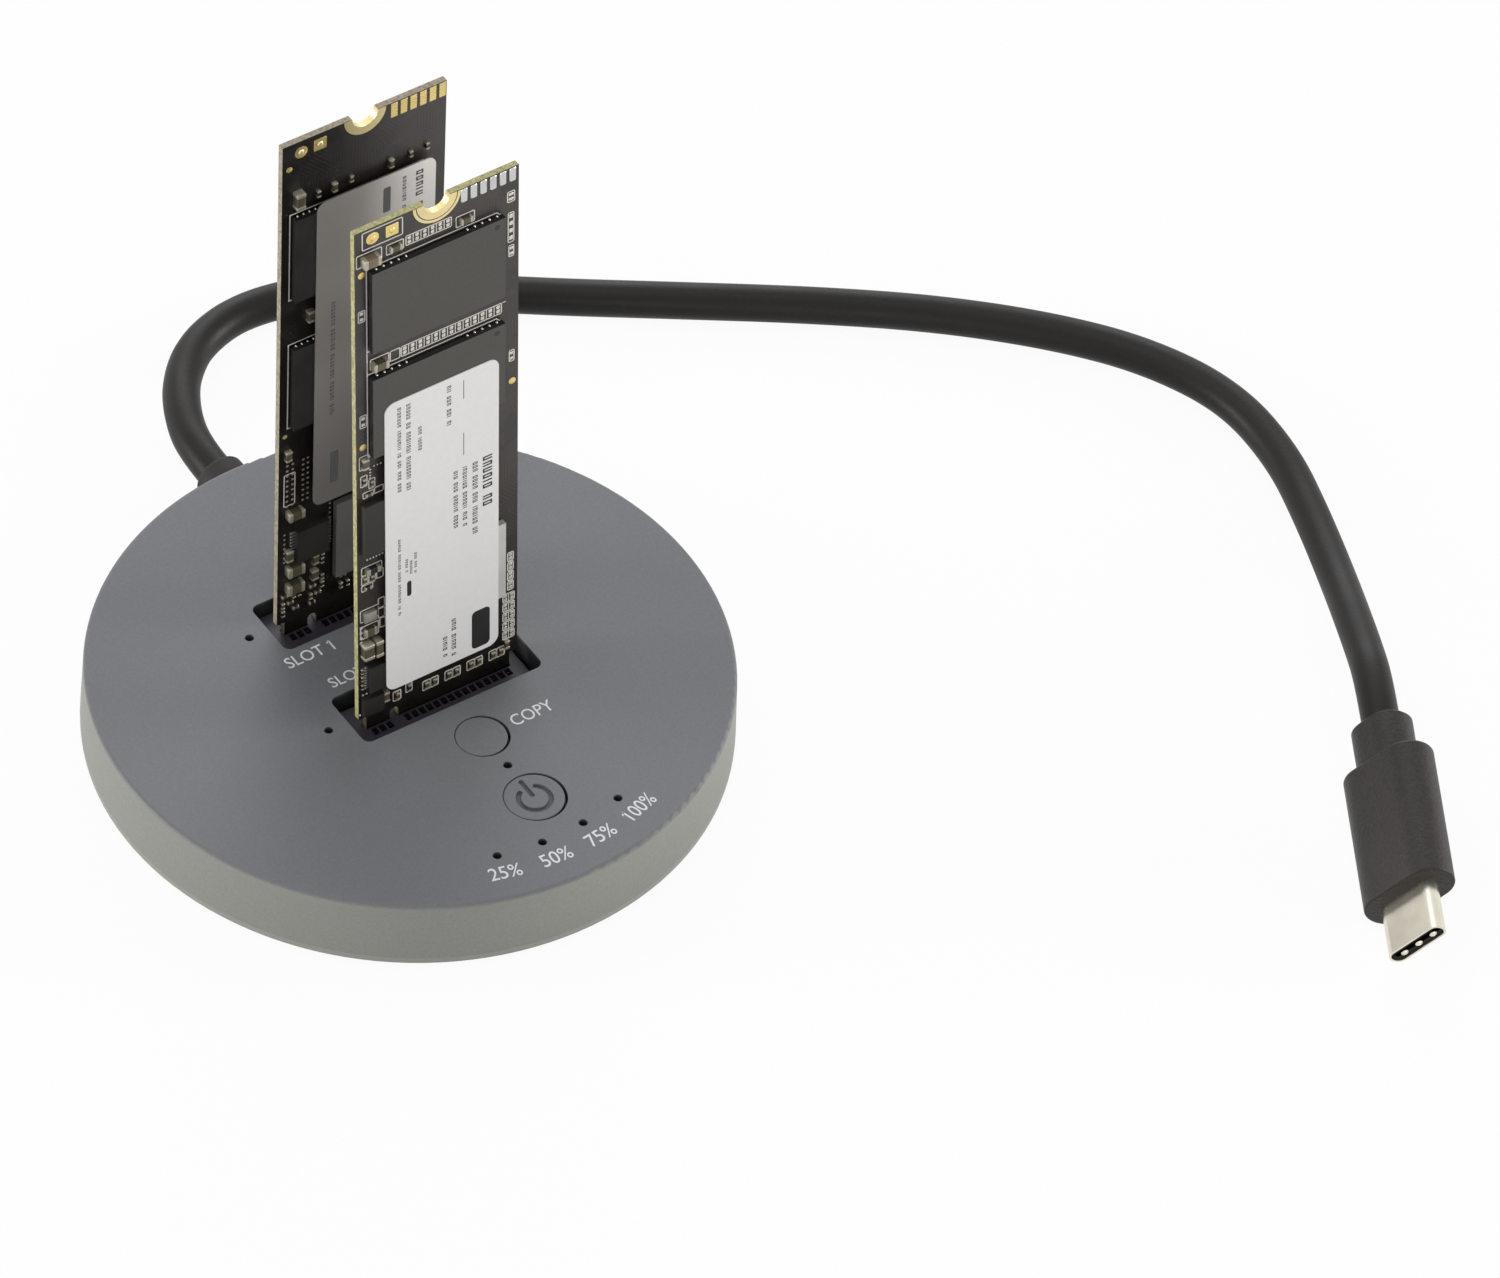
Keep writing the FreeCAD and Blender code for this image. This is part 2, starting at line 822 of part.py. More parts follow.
def from_top(up, height):
    """Distance down from the card's top to a part that stands so far up from the shoulder."""
    return board_above - up - height


def lifted(rows):
    """Rows of left, up, width, height and thickness turned into rows from the top."""
    return [(left, from_top(up, height), width, height, thickness)
            for left, up, width, height, thickness in rows]


def notch_cutter(offset):
    half = notch_width / 2
    top = -tongue_length + notch_depth - half
    leg = Part.makeBox(notch_width, card_thickness, top + tongue_length,
                       Vector(offset - half, 0, -tongue_length))
    crown = Part.makeCylinder(half, card_thickness, Vector(offset, 0, top), Vector(0, 1, 0))
    return leg.fuse(crown).removeSplitter()


def card_board(key_offsets):
    """Board outline with its edge tongue, key notches and half hole at the top."""
    half = card_width / 2
    inner = tongue_width / 2
    tip = inner - tongue_corner
    low = -tongue_length
    outline = [
        (-half, 0), (-inner, 0), (-inner, low + tongue_corner), (-tip, low), (tip, low),
        (inner, low + tongue_corner), (inner, 0), (half, 0), (half, board_above),
        (-half, board_above),
    ]
    face = polygon_face([(x, 0, z) for x, z in outline])
    board = face.extrude(Vector(0, card_thickness, 0))
    cuts = [notch_cutter(offset) for offset in key_offsets]
    cuts.append(Part.makeCylinder(mounting_radius, card_thickness, Vector(0, 0, board_above),
                                  Vector(0, 1, 0)))
    return board.cut(Part.makeCompound(cuts))


def package(left, down, width, height):
    """Chip on solder balls: the body stands off the board on a narrower foot."""
    body = card_box(left, down, width, height, ball_gap, ball_gap + package_thickness)
    foot = card_box(left + ball_inset, down + ball_inset, width - 2 * ball_inset,
                    height - 2 * ball_inset, 0, ball_gap)
    return body.fuse(foot).removeSplitter()


def flat_chip(left, down, width, height, thickness):
    return card_box(left, down, width, height, 0, thickness)


def flash_pair(left, down, width, height, pitch):
    packages = [package(left, down + index * pitch, width, height) for index in range(2)]
    return Part.makeCompound(packages)


def rounded_label(left, down, width, height):
    face = Part.Face(rounded_outline(width, height, label_corner))
    label = face.extrude(Vector(0, 0, label_thickness))
    label.rotate(Vector(0, 0, 0), Vector(1, 0, 0), 90)
    x = left + width / 2 - card_width / 2
    z = board_above - down - height / 2
    label.translate(Vector(x, -ball_gap - package_thickness, z))
    return label


def capacitor(left, down, width, height, thickness):
    """Chip capacitor: a ceramic body between two slightly larger metal ends."""
    lip = capacitor_lip
    end = capacitor_end_share * max(width, height)
    body = card_box(left + lip, down + lip, width - 2 * lip, height - 2 * lip, 0, thickness - lip)
    if width >= height:
        ends = (card_box(left, down, end, height, 0, thickness),
                card_box(left + width - end, down, end, height, 0, thickness))
    else:
        ends = (card_box(left, down, width, end, 0, thickness),
                card_box(left, down + height - end, width, end, 0, thickness))
    return joined([body] + list(ends))


def capacitors(rows):
    return Part.makeCompound([capacitor(*row) for row in rows])


def target_resistors():
    """Pairs of small resistors in a row along the lower edge."""
    pairs = []
    for index in range(resistor_count):
        for place in range(2):
            left = resistor_left + index * resistor_step + place * resistor_pair_step
            down = from_top(resistor_up, resistor_height)
            pairs.append(flat_chip(left, down, resistor_width, resistor_height,
                                   resistor_thickness))
    return Part.makeCompound(pairs)


# Cord and its ends

def make_cable_gland():
    """Moulded grommet: collar outside, neck in the wall, flange inside."""
    inner_face = cavity_radius - gland_clearance
    low = parting_height + gland_clearance
    high = ceiling - gland_head_room
    flange = Part.makeBox(gland_inner_width, gland_inner_thickness, high - low,
                          Vector(-gland_inner_width / 2, inner_end, low))
    along = [edge for edge in flange.Edges
             if abs(edge.Vertexes[0].Y - edge.Vertexes[-1].Y) > gland_inner_thickness / 2]
    flange = flange.makeFillet(gland_inner_round, along)
    flange = flange.common(cylinder(inner_face, 0, top_height))
    neck = cord_opening(inner_face - gland_lap, wall_radius + gland_lap, 0.0)
    collar_start = Vector(0, wall_radius - gland_lap, gland_height)
    collar = Part.makeCylinder(gland_collar_diameter / 2, collar_end - collar_start.y,
                               collar_start, Vector(0, 1, 0))
    rim = [edge for edge in collar.Edges
           if len(edge.Vertexes) == 1 and edge.Vertexes[0].Y > collar_end - 1e-6]
    collar = collar.makeFillet(gland_collar_round, rim)
    collar = collar.cut(cylinder(wall_radius + gland_clearance, 0, top_height))
    return joined([flange, neck, collar])


def make_cable_tail():
    """Last bit of the cord inside the case, where the jacket ends."""
    return Part.makeCylinder(cord_radius, tail_length, Vector(0, tail_end, gland_height),
                             Vector(0, 1, 0))


def make_cable_wires():
    """Wires that run side by side from the cord's end into the header."""
    header_face = header_y + header_depth / 2
    wires = []
    for index in range(wire_count):
        place = index - (wire_count - 1) / 2
        start = Vector(place * wire_pitch, header_face, gland_height)
        wires.append(Part.makeCylinder(wire_diameter / 2, header_gap, start, Vector(0, 1, 0)))
    return Part.makeCompound(wires)


def make_cable_header():
    top = board_top + header_height
    body = block(header_length, header_depth, board_top, top, 0, header_y)
    upright = [edge for edge in body.Edges if abs(edge.Vertexes[0].Z - edge.Vertexes[-1].Z) > 0.1]
    body = body.makeFillet(header_corner, upright)
    slot = block(header_length - 2 * header_slot_inset, header_slot_width,
                 top - header_slot_width, top, 0, header_y + header_slot_shift)
    return body.cut(slot)


def plug_axes():
    """Directions of the plug: along it, across it and through its thickness."""
    yaw = math.radians(plug_yaw)
    pitch = math.radians(plug_pitch)
    roll = math.radians(plug_roll)
    level = Vector(math.cos(yaw), math.sin(yaw), 0)
    aside = Vector(-math.sin(yaw), math.cos(yaw), 0)
    along = level * math.cos(pitch) - Vector(0, 0, 1) * math.sin(pitch)
    over = Vector(0, 0, 1) * math.cos(pitch) + level * math.sin(pitch)
    across = aside * math.cos(roll) + over * math.sin(roll)
    through = over * math.cos(roll) - aside * math.sin(roll)
    return along, across, through


def plug_point(distance):
    """Point on the plug's centre line, so high that its moulded front edge meets the table."""
    along, across, through = plug_axes()
    round_end = plug_body_height / 2 * math.cos(math.radians(plug_pitch))
    flat = (plug_body_width - plug_body_height) / 2
    mouth_height = round_end + flat * abs(across.z) - along.z * plug_front
    return Vector(plug_mouth_x, plug_mouth_y, mouth_height) + along * distance


def plug_placed(shape):
    """Lay a shape drawn along +Z, mouth at the origin, where the plug lies."""
    along, across, through = plug_axes()
    mouth = plug_point(0)
    pose = FreeCAD.Matrix(
        across.x, through.x, along.x, mouth.x,
        across.y, through.y, along.y, mouth.y,
        across.z, through.z, along.z, mouth.z,
        0, 0, 0, 1)
    moved = shape.copy()
    moved.Placement = FreeCAD.Placement(pose)
    return moved


def stadium_plate(width, height, bottom, top):
    corner = min(width, height) / 2
    return rounded_plate(width, height, corner, bottom, top)


def make_plug_overmould():
    body = stadium_plate(plug_body_width, plug_body_height, plug_back, plug_front)
    level = plug_back + plug_body_length / 2
    back = [edge for edge in body.Edges if max(v.Z for v in edge.Vertexes) < level]
    body = body.makeFillet(plug_body_round, back)
    front = [edge for edge in body.Edges if min(v.Z for v in edge.Vertexes) > plug_front - 1e-6]
    body = body.makeFillet(plug_front_round, front)
    boot = stadium_plate(plug_boot_width, plug_boot_height, plug_boot_end,
                         plug_back + plug_body_round)
    ends = [edge for edge in boot.Edges if max(v.Z for v in edge.Vertexes) < plug_boot_end + 1e-6]
    boot = boot.makeChamfer(plug_body_round, ends)
    seat = stadium_plate(plug_shell_width, plug_shell_height, plug_front - plug_shell_seat,
                         plug_front)
    return plug_placed(joined([body, boot]).cut(seat))


def make_plug_shell():
    low = plug_front - plug_shell_seat
    outer = stadium_plate(plug_shell_width, plug_shell_height, low, 0)
    inner = stadium_plate(plug_shell_width - 2 * plug_shell_wall,
                          plug_shell_height - 2 * plug_shell_wall, low, 0)
    return plug_placed(outer.cut(inner))


def plug_spring_places():
    middle = (plug_spring_count - 1) / 2
    return [(index - middle) * plug_spring_pitch for index in range(plug_spring_count)]


def make_plug_insert():
    """Plastic block in the shell with the slot that takes the socket's tongue."""
    width = plug_shell_width - 2 * plug_shell_wall - 2 * plug_insert_clearance
    height = plug_shell_height - 2 * plug_shell_wall - 2 * plug_insert_clearance
    low = plug_front - plug_shell_seat
    body = stadium_plate(width, height, low, -plug_insert_sink)
    slot = block(plug_tongue_width, plug_tongue_gap, -plug_insert_sink - plug_tongue_depth,
                 -plug_insert_sink)
    return plug_placed(body.cut(slot))


def make_plug_contacts():
    """Spring tips that stand in the mouth."""
    tips = []
    low = -plug_insert_sink - plug_tongue_depth
    high = -plug_insert_sink - plug_spring_sink
    for place in plug_spring_places():
        tips.append(block(plug_spring_width, plug_tongue_gap * plug_spring_share, low, high, place))
    return plug_placed(Part.makeCompound(tips))


def cord_points():
    points = [Vector(*point) for point in cord_route]
    points.append(plug_point(plug_boot_end - plug_run_in))
    points.append(plug_point(plug_boot_end))
    return points


def bend(before, corner, after):
    """Start, middle, end and radius of the arc that rounds one corner of the route."""
    first = before.sub(corner)
    second = after.sub(corner)
    reach = 0.45 * min(first.Length, second.Length)
    turn = math.pi - first.getAngle(second)
    radius = reach / math.tan(turn / 2)
    first.normalize()
    second.normalize()
    inward = first.add(second)
    inward.normalize()
    depth = radius / math.cos(turn / 2) - radius
    start = corner.add(first * reach)
    middle = corner.add(inward * depth)
    end = corner.add(second * reach)
    return start, middle, end, radius


def make_usb_cable():
    points = cord_points()
    edges = []
    radii = []
    here = points[0]
    for index in range(1, len(points) - 1):
        start, middle, end, radius = bend(points[index - 1], points[index], points[index + 1])
        edges.append(Part.LineSegment(here, start).toShape())
        edges.append(Part.Arc(start, middle, end).toShape())
        radii.append(radius)
        here = end
    edges.append(Part.LineSegment(here, points[-1]).toShape())
    path = Part.Wire(edges)
    direction = points[1].sub(points[0])
    ring = Part.Wire([Part.Circle(points[0], direction, cord_radius).toShape()])
    tube = path.makePipeShell([ring], True, False)
    expected = math.pi * cord_radius ** 2 * path.Length
    print("cord length %.1f, volume share %.4f" % (path.Length, tube.Volume / expected))
    print("cord radii", " ".join("%.1f" % radius for radius in radii))
    return tube


def all_nodes():
    housing = socket_housing()
    contacts = socket_contacts()
    tabs = socket_tabs()
    source_at = (source_card_x, source_card_y, source_lean)
    target_at = (target_card_x, target_card_y, target_lean)
    target_controller = package(
        target_controller_left, from_top(target_controller_up, target_controller_side),
        target_controller_side, target_controller_side)
    source_controller = package(
        source_controller_left, from_top(source_controller_up, source_controller_side),
        source_controller_side, source_controller_side)
    return {
        "top_cover": make_top_cover(),
        "bottom_cover": make_bottom_cover(),
        "case_screws": make_case_screws(),
        "foot_pads": make_foot_pads(),
        "main_board": make_main_board(),
        "copy_controller": make_copy_controller(),
        "bridge_chips": make_bridge_chips(),
        "program_memory": make_program_memory(),
        "crystal": make_crystal(),
        "power_inductors": make_power_inductors(),
        "board_capacitors": make_board_capacitors(),
        "status_lights": make_status_lights(),
        "light_pipes": make_light_pipes(),
        "source_socket": placed_socket(housing, *source_at),
        "target_socket": placed_socket(housing, *target_at),
        "source_socket_contacts": placed_socket(contacts, *source_at),
        "target_socket_contacts": placed_socket(contacts, *target_at),
        "source_socket_tabs": placed_socket(tabs, *source_at),
        "target_socket_tabs": placed_socket(tabs, *target_at),
        "copy_button": make_button(copy_button_diameter / 2, copy_button_y),
        "power_button": make_button(power_button_diameter / 2, power_button_y),
        "copy_switch_body": make_switch_body(copy_button_y),
        "power_switch_body": make_switch_body(power_button_y),
        "copy_switch_plunger": make_switch_plunger(copy_button_y),
        "power_switch_plunger": make_switch_plunger(power_button_y),
        "target_drive_board": target_card(card_board([key_m_offset])),
        "target_drive_flash": target_card(flash_pair(
            target_flash_left, target_flash_down, target_flash_width, target_flash_height,
            target_flash_pitch)),
        "target_drive_controller": target_card(target_controller),
        "target_drive_memory": target_card(flat_chip(*target_memory)),
        "target_drive_power_chips": target_card(Part.makeCompound(
            [flat_chip(*row) for row in lifted(target_power_chips)])),
        "target_drive_capacitors": target_card(capacitors(
            target_upper_capacitors + lifted(target_lower_capacitors))),
        "target_drive_resistors": target_card(target_resistors()),
        "target_drive_label": target_card(rounded_label(
            target_label_left, target_label_down, target_label_width, target_label_height)),
        "source_drive_board": source_card(card_board([key_m_offset, key_b_offset])),
        "source_drive_flash": source_card(flash_pair(
            source_flash_left, source_flash_down, source_flash_width, source_flash_height,
            source_flash_pitch)),
        "source_drive_controller": source_card(source_controller),
        "source_drive_power_chip": source_card(flat_chip(
            *lifted([source_power_chip])[0])),
        "source_drive_capacitors": source_card(capacitors(
            source_upper_capacitors + lifted(source_lower_capacitors))),
        "source_drive_label": source_card(rounded_label(
            source_label_left, source_label_down, source_label_width, source_label_height)),
        "cable_gland": make_cable_gland(),
        "cable_tail": make_cable_tail(),
        "cable_wires": make_cable_wires(),
        "cable_header": make_cable_header(),
        "usb_cable": make_usb_cable(),
        "plug_overmould": make_plug_overmould(),
        "plug_shell": make_plug_shell(),
        "plug_insert": make_plug_insert(),
        "plug_contacts": make_plug_contacts(),
    }


os.makedirs("parts", exist_ok=True)
for name, shape in all_nodes().items():
    shape.exportStep("parts/" + name + ".step")
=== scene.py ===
"""Looks of a drive duplicator: round case, two drives in their slots, and a cord with its plug."""

import json
import math

import bmesh
import bpy
import numpy as np
from bpy.props import FloatProperty, FloatVectorProperty, PointerProperty
from mathutils import Matrix, Vector

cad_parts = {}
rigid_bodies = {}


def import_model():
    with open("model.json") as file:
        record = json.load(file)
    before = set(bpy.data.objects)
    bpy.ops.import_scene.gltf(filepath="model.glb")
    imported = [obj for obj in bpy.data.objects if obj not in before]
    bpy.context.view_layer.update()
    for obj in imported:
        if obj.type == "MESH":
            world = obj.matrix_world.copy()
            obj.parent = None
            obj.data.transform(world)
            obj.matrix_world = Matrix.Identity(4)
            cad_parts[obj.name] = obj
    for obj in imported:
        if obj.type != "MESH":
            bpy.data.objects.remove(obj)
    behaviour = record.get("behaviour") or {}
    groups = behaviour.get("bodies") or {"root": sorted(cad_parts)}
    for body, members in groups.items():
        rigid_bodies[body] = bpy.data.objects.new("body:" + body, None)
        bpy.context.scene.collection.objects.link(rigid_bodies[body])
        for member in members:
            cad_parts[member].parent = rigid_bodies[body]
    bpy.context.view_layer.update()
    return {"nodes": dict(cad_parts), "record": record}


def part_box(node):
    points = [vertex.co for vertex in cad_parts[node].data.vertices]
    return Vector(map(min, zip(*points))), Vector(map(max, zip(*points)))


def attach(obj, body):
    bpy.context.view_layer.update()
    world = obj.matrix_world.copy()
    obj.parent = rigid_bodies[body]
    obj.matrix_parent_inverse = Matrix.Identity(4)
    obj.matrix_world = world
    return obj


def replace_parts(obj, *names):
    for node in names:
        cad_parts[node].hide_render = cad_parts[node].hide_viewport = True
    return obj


for leftover in list(bpy.data.objects):
    bpy.data.objects.remove(leftover)

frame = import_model()

bl_info = {
    "name": "Drive duplicator",
    "version": (1, 0, 0),
    "blender": (4, 5, 0),
    "location": "3D View > Sidebar > Duplicator",
    "description": "Finishes the case, the drives, the sockets and the cord of a drive duplicator",
    "category": "Object",
}

MM = 0.001

# In millimetres: half a drive's width, the height of its chips, and how thick its label and plating are.
HALF_WIDTH = 11
CHIP_FACE = 0.95
FILM = 0.12
PLATING = 0.02


# Settings

def colour(name, description, default):
    return FloatVectorProperty(name=name, description=description, default=default, size=3,
                               subtype="COLOR", min=0.0, max=1.0)


def length(name, description, default):
    return FloatProperty(name=name, description=description, default=default, unit="LENGTH",
                         subtype="DISTANCE", min=0.0)


def power(name, description, default):
    return FloatProperty(name=name, description=description, default=default, unit="POWER", min=0.0)


class CaseSettings(bpy.types.PropertyGroup):
    """Sizes and colours of the round case."""

    top_colour: colour("Top", "Colour of the cover's flat top", (0.147, 0.150, 0.160))
    # Painted light: the side wall is the top's plastic, drawn lighter for the light that the floor and the
    # side lamps give it.
    lit_side_colour: colour("Side", "Colour of the cover's side wall", (0.258, 0.259, 0.239))
    band_colour: colour("Band", "Colour of the lower band", (0.325, 0.316, 0.289))
    print_colour: colour("Print", "Colour of the words and numbers", (0.74, 0.75, 0.77))
    print_height: length("Print height", "How far the ink stands up from the cover", 0.00001)
    symbol_radius: length("Symbol radius", "Radius of the ring pressed into the power button", 0.0019)
    cap_shift: length("Cap shift", "How far the button caps stand off the middle of their holes", 0.00014)
    groove_width: length("Groove width", "Width of the symbol's groove", 0.0006)
    groove_depth: length("Groove depth", "Depth of the symbol's groove", 0.0003)


class CardSettings(bpy.types.PropertyGroup):
    """Sizes and colours of the two drives."""

    board_colour: colour("Board", "Colour of the solder mask", (0.023, 0.0182, 0.0155))
    edge_colour: colour("Board edge", "Colour of the laminate at the board's edges", (0.46, 0.43, 0.20))
    package_colour: colour("Package", "Colour of the moulded chips", (0.050, 0.0455, 0.039))
    front_label_colour: colour("Front label", "Colour of the front drive's label", (0.78, 0.775, 0.765))
    rear_label_colour: colour("Rear label", "Colour of the rear drive's label", (0.47, 0.45, 0.425))
    mark_width: length("Line width", "Width of the white lines on the boards", 0.00015)
    ink_height: length("Ink height", "How far printed lines stand up", 0.000015)


class CordSettings(bpy.types.PropertyGroup):
    """The cord's size, and colours of the cord and its plug."""

    diameter: length("Diameter", "Diameter of the cord", 0.0046)
    jacket_colour: colour("Jacket", "Colour of the cord's jacket", (0.0120, 0.0100, 0.0088))
    plug_colour: colour("Plug body", "Colour of the plug's moulded body", (0.0205, 0.0172, 0.0150))


class StageSettings(bpy.types.PropertyGroup):
    """Floor, lamps and camera."""

    floor_colour: colour("Floor", "Colour of the floor", (0.9, 0.9, 0.9))
    floor_size: length("Floor size", "Length of the floor's side", 3.0)
    overhead_power: power("Overhead", "Power of the lamp above", 5.0)
    front_power: power("Front", "Power of the lamp in front", 3.7)
    side_power: power("Sides", "Power of the left lamp, and nearly that of the right and back lamps", 9.6)
    focal_length: FloatProperty(name="Focal length", description="Focal length in millimetres",
                                default=264.0, min=1.0)


# Surfaces

def box_array(places):
    return np.atleast_2d(np.asarray(places, dtype=float))


def with_last(places, number):
    """The rows with one more number, the same for all."""
    rows = box_array(places)
    return np.column_stack([rows, np.full(len(rows), number)])


def runs(table):
    """Copies of places. Each row is left, down and sizes, then the count and the steps across and down."""
    return [(left + across * copy, down + step * copy, *sizes)
            for left, down, *sizes, count, across, step in table for copy in range(count)]


def tube_faces(count, rings, around, hollow=False):
    """Faces between the neighbouring rings of each copy, and caps on its two end rings.

    A hollow one has faces from its last ring to its first instead of the caps."""
    index = np.arange(count * rings * around).reshape(count, rings, around)
    above = np.roll(index, -1, axis=1)
    quads = np.stack([index, np.roll(index, -1, axis=2), np.roll(above, -1, axis=2), above], axis=-1)
    if hollow:
        return quads.reshape(-1, 4).tolist()
    caps = index[:, -1].tolist() + index[:, 0, ::-1].tolist()
    return quads[:, :-1].reshape(-1, 4).tolist() + caps


def block_surface(places, profile, corner=0.1, steps=2, hollow=False):
    """Rounded blocks over rectangles given as left, down, width, height and thickness.

    A point lies on its block's outline, a rectangle with round corners, drawn in by the profile's inset.
    Its height is the profile's share of the thickness. A hollow one's profile closes on itself."""
    left, down, width, height, thickness = box_array(places).T[:, :, None, None]
    quarter = np.linspace(0, math.pi / 2, steps) if steps > 1 else np.array([math.pi / 4])
    start = np.arange(4)[:, None] * math.pi / 2
    turn = (start + quarter).ravel()
    side = (start + math.pi / 4 + 0 * quarter).ravel()
    inset, share = np.asarray(profile, dtype=float).T[:, None, :, None]
    radius = np.minimum(corner, np.minimum(width, height) / 2)
    bend = np.maximum(radius - inset, 0.0)
    back = np.maximum(radius, inset)
    u = left + width / 2 + np.sign(np.cos(side)) * (width / 2 - back) + np.cos(turn) * bend
    v = down + height / 2 + np.sign(np.sin(side)) * (height / 2 - back) + np.sin(turn) * bend
    points = np.stack([u, v, thickness * share + 0 * u], axis=-1)
    return points.reshape(-1, 3), tube_faces(*u.shape, hollow)


def frames(places, width, thickness):
    """Outlines of a line's width inside rectangles given as left, down, width and height."""
    section = [(0, 0), (0, 1), (width, 1), (width, 0)]
    return block_surface(with_last(places, thickness), section, 0.15, hollow=True)


def slabs(places, thickness=None, corner=0.08, steps=2, edge=0.05):
    """Low blocks with a small chamfer. The thickness is the last number, or the same for all."""
    rows = box_array(places) if thickness is None else with_last(places, thickness)
    low = np.maximum(1 - edge / rows[:, 4].max(), 0.3)
    return block_surface(rows, [(0, 0), (0, low), (edge, 1)], corner, steps)


def rounded_blocks(places, edge):
    """Blocks whose upper edge is rounded in three steps."""
    fall = edge / float(np.median(box_array(places)[:, 4]))
    profile = [(0, 0), (0, 1 - fall), (edge * 0.3, 1 - fall * 0.3), (edge, 1)]
    return block_surface(places, profile, edge * 1.4, 3)


def stroke_surface(path, width, thickness):
    """A printed line round a closed path of u and v, with a rectangle as its section.

    Each point of the path is moved along the corner's mitre by half the width, each way."""
    points = np.asarray(path, dtype=float)
    ahead = np.roll(points, -1, axis=0) - points
    behind = points - np.roll(points, 1, axis=0)
    ahead /= np.linalg.norm(ahead, axis=1)[:, None]
    behind /= np.linalg.norm(behind, axis=1)[:, None]
    both = ahead + behind
    mitre = np.stack([-both[:, 1], both[:, 0]], axis=1) * (width / (both ** 2).sum(axis=1))[:, None]
    rings = [np.column_stack([points + side * mitre, np.full(len(points), up * thickness)])
             for side, up in ((1, 0), (1, 1), (-1, 1), (-1, 0))]
    grid = np.stack(rings, axis=1)
    return grid.reshape(-1, 3), tube_faces(1, *grid.shape[:2], True)


def round_surface(places, reach, rise, around):
    """Round bumps given as u, v, radius and height: circles of the radius times a reach.

    Each circle lies at the height times its rise."""
    u, v, radius, height = box_array(places).T[:, :, None, None]
    angle = np.arange(around) / around * 2 * math.pi
    reach, rise = np.array(reach)[:, None], np.array(rise)[:, None]
    grid = [u + radius * reach * np.cos(angle), v + radius * reach * np.sin(angle), height * rise + 0 * angle]
    return np.stack(grid, axis=-1).reshape(-1, 3), tube_faces(len(u), len(reach), around)


def dots(places, thickness, around):
    """Round pads given as u, v and radius: a circle at the face, and one drawn in at the top."""
    return round_surface(with_last(places, thickness), (1.0, 0.9), (0.0, 1.0), around)


def domes(places, around=10, rings=4):
    """Solder bumps given as u, v, radius and height: the reach falls as a cosine, and the rise is its sine."""
    rise = np.linspace(0, math.pi / 2 * 0.9, rings)
    return round_surface(places, np.cos(rise), np.sin(rise), around)


def joined(surfaces):
    """Several surfaces as one: their points in a row, and their faces counted on."""
    points, faces, start = [], [], 0
    for some, their in surfaces:
        points.append(some)
        faces += [[number + start for number in face] for face in their]
        start += len(some)
    return np.concatenate(points), faces


# Pieces

def new_object(name, data):
    """An object in the scene, at the origin."""
    made = bpy.data.objects.new(name, data)
    bpy.context.scene.collection.objects.link(made)
    return made


def mesh_points(mesh):
    """A mesh's points as rows of x, y and z."""
    points = np.empty(len(mesh.vertices) * 3)
    mesh.vertices.foreach_get("co", points)
    return points.reshape(-1, 3)


def mesh_piece(name, surface, finish, body, smooth_angle=0.6):
    """A mesh whose points are in metres, at the origin, with its faces turned outwards."""
    mesh = bpy.data.meshes.new(name)
    mesh.from_pydata(surface[0].tolist(), [], surface[1])
    work = bmesh.new()
    work.from_mesh(mesh)
    bmesh.ops.recalc_face_normals(work, faces=work.faces)
    work.to_mesh(mesh)
    work.free()
    mesh.polygons.foreach_set("use_smooth", np.ones(len(mesh.polygons), dtype=bool))
    mesh.set_sharp_from_angle(angle=smooth_angle)
    mesh.materials.append(look(finish))
    piece = new_object(name, mesh)
    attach(piece, body)
    return piece


class CardPlace:
    """Where a drive's front face is: u to the right, v down from its top edge, h out of the face."""

    def __init__(self, drive):
        joint = next(row for row in frame["record"]["behaviour"]["joints"]
                     if row["name"] == drive + "_drive_lift")
        axis = Vector(joint["axis"]).normalized()
        tilt, lean = math.atan2(axis.x, axis.z), math.asin(axis.y)
        turn = Matrix.Rotation(tilt, 3, "Y") @ Matrix.Rotation(-lean, 3, "X")
        self.drive = drive
        self.euler = turn.to_euler("XYZ")
        self.turn = np.array(turn)
        local = mesh_points(frame["nodes"][drive + "_drive_board"].data) @ self.turn
        low, high = local.min(axis=0), local.max(axis=0)
        self.corner = np.array([(low[0] + high[0]) / 2, low[1], high[2]])
        self.origin = self.turn @ self.corner
        self.thickness = (high[1] - low[1]) / MM

    def piece(self, name, surface, finish, lift=0.0, back=False):
        """A piece on the drive's front or back face, from points of u, v and h in millimetres."""
        u, v, h = surface[0].T
        out = h + lift
        depth = self.thickness + out if back else -out
        local = self.corner + np.column_stack([u - HALF_WIDTH, depth, -v]) * MM
        return mesh_piece(self.drive + "_" + name, (local @ self.turn.T, surface[1]), finish,
                          self.drive + "_drive")


# Nodes

def put(tree, socket, value):
    """Join an output to a socket, or set the socket to a number, a vector or a colour."""
    if isinstance(value, bpy.types.NodeSocket):
        tree.links.new(value, socket)
    else:
        socket.default_value = (*value[:3], 1.0) if socket.type == "RGBA" else value


def add(tree, kind, inputs, **settings):
    """A new node with its settings, and with its inputs given by name or number."""
    node = tree.nodes.new("ShaderNode" + kind)
    for name, value in settings.items():
        setattr(node, name, value)
    for place, value in inputs.items():
        put(tree, node.inputs[place], value)
    return node


def maths(tree, operation, *values):
    return add(tree, "Math", dict(enumerate(values)), operation=operation).outputs[0]


def noise(tree, vector, scale, detail, roughness=0.5):
    return add(tree, "TexNoise", {"Vector": vector, "Scale": scale, "Detail": detail,
                                  "Roughness": roughness}).outputs["Fac"]


def axes(tree, vector):
    return add(tree, "SeparateXYZ", {0: vector}).outputs


def mixed(tree, share, first, second):
    """The first colour where the share is none, and the second where it is one."""
    return add(tree, "Mix", {0: share, 6: first, 7: second}, data_type="RGBA").outputs[2]


def scaled(tree, tone, share):
    return add(tree, "VectorMath", {0: tone, "Scale": share}, operation="SCALE").outputs[0]


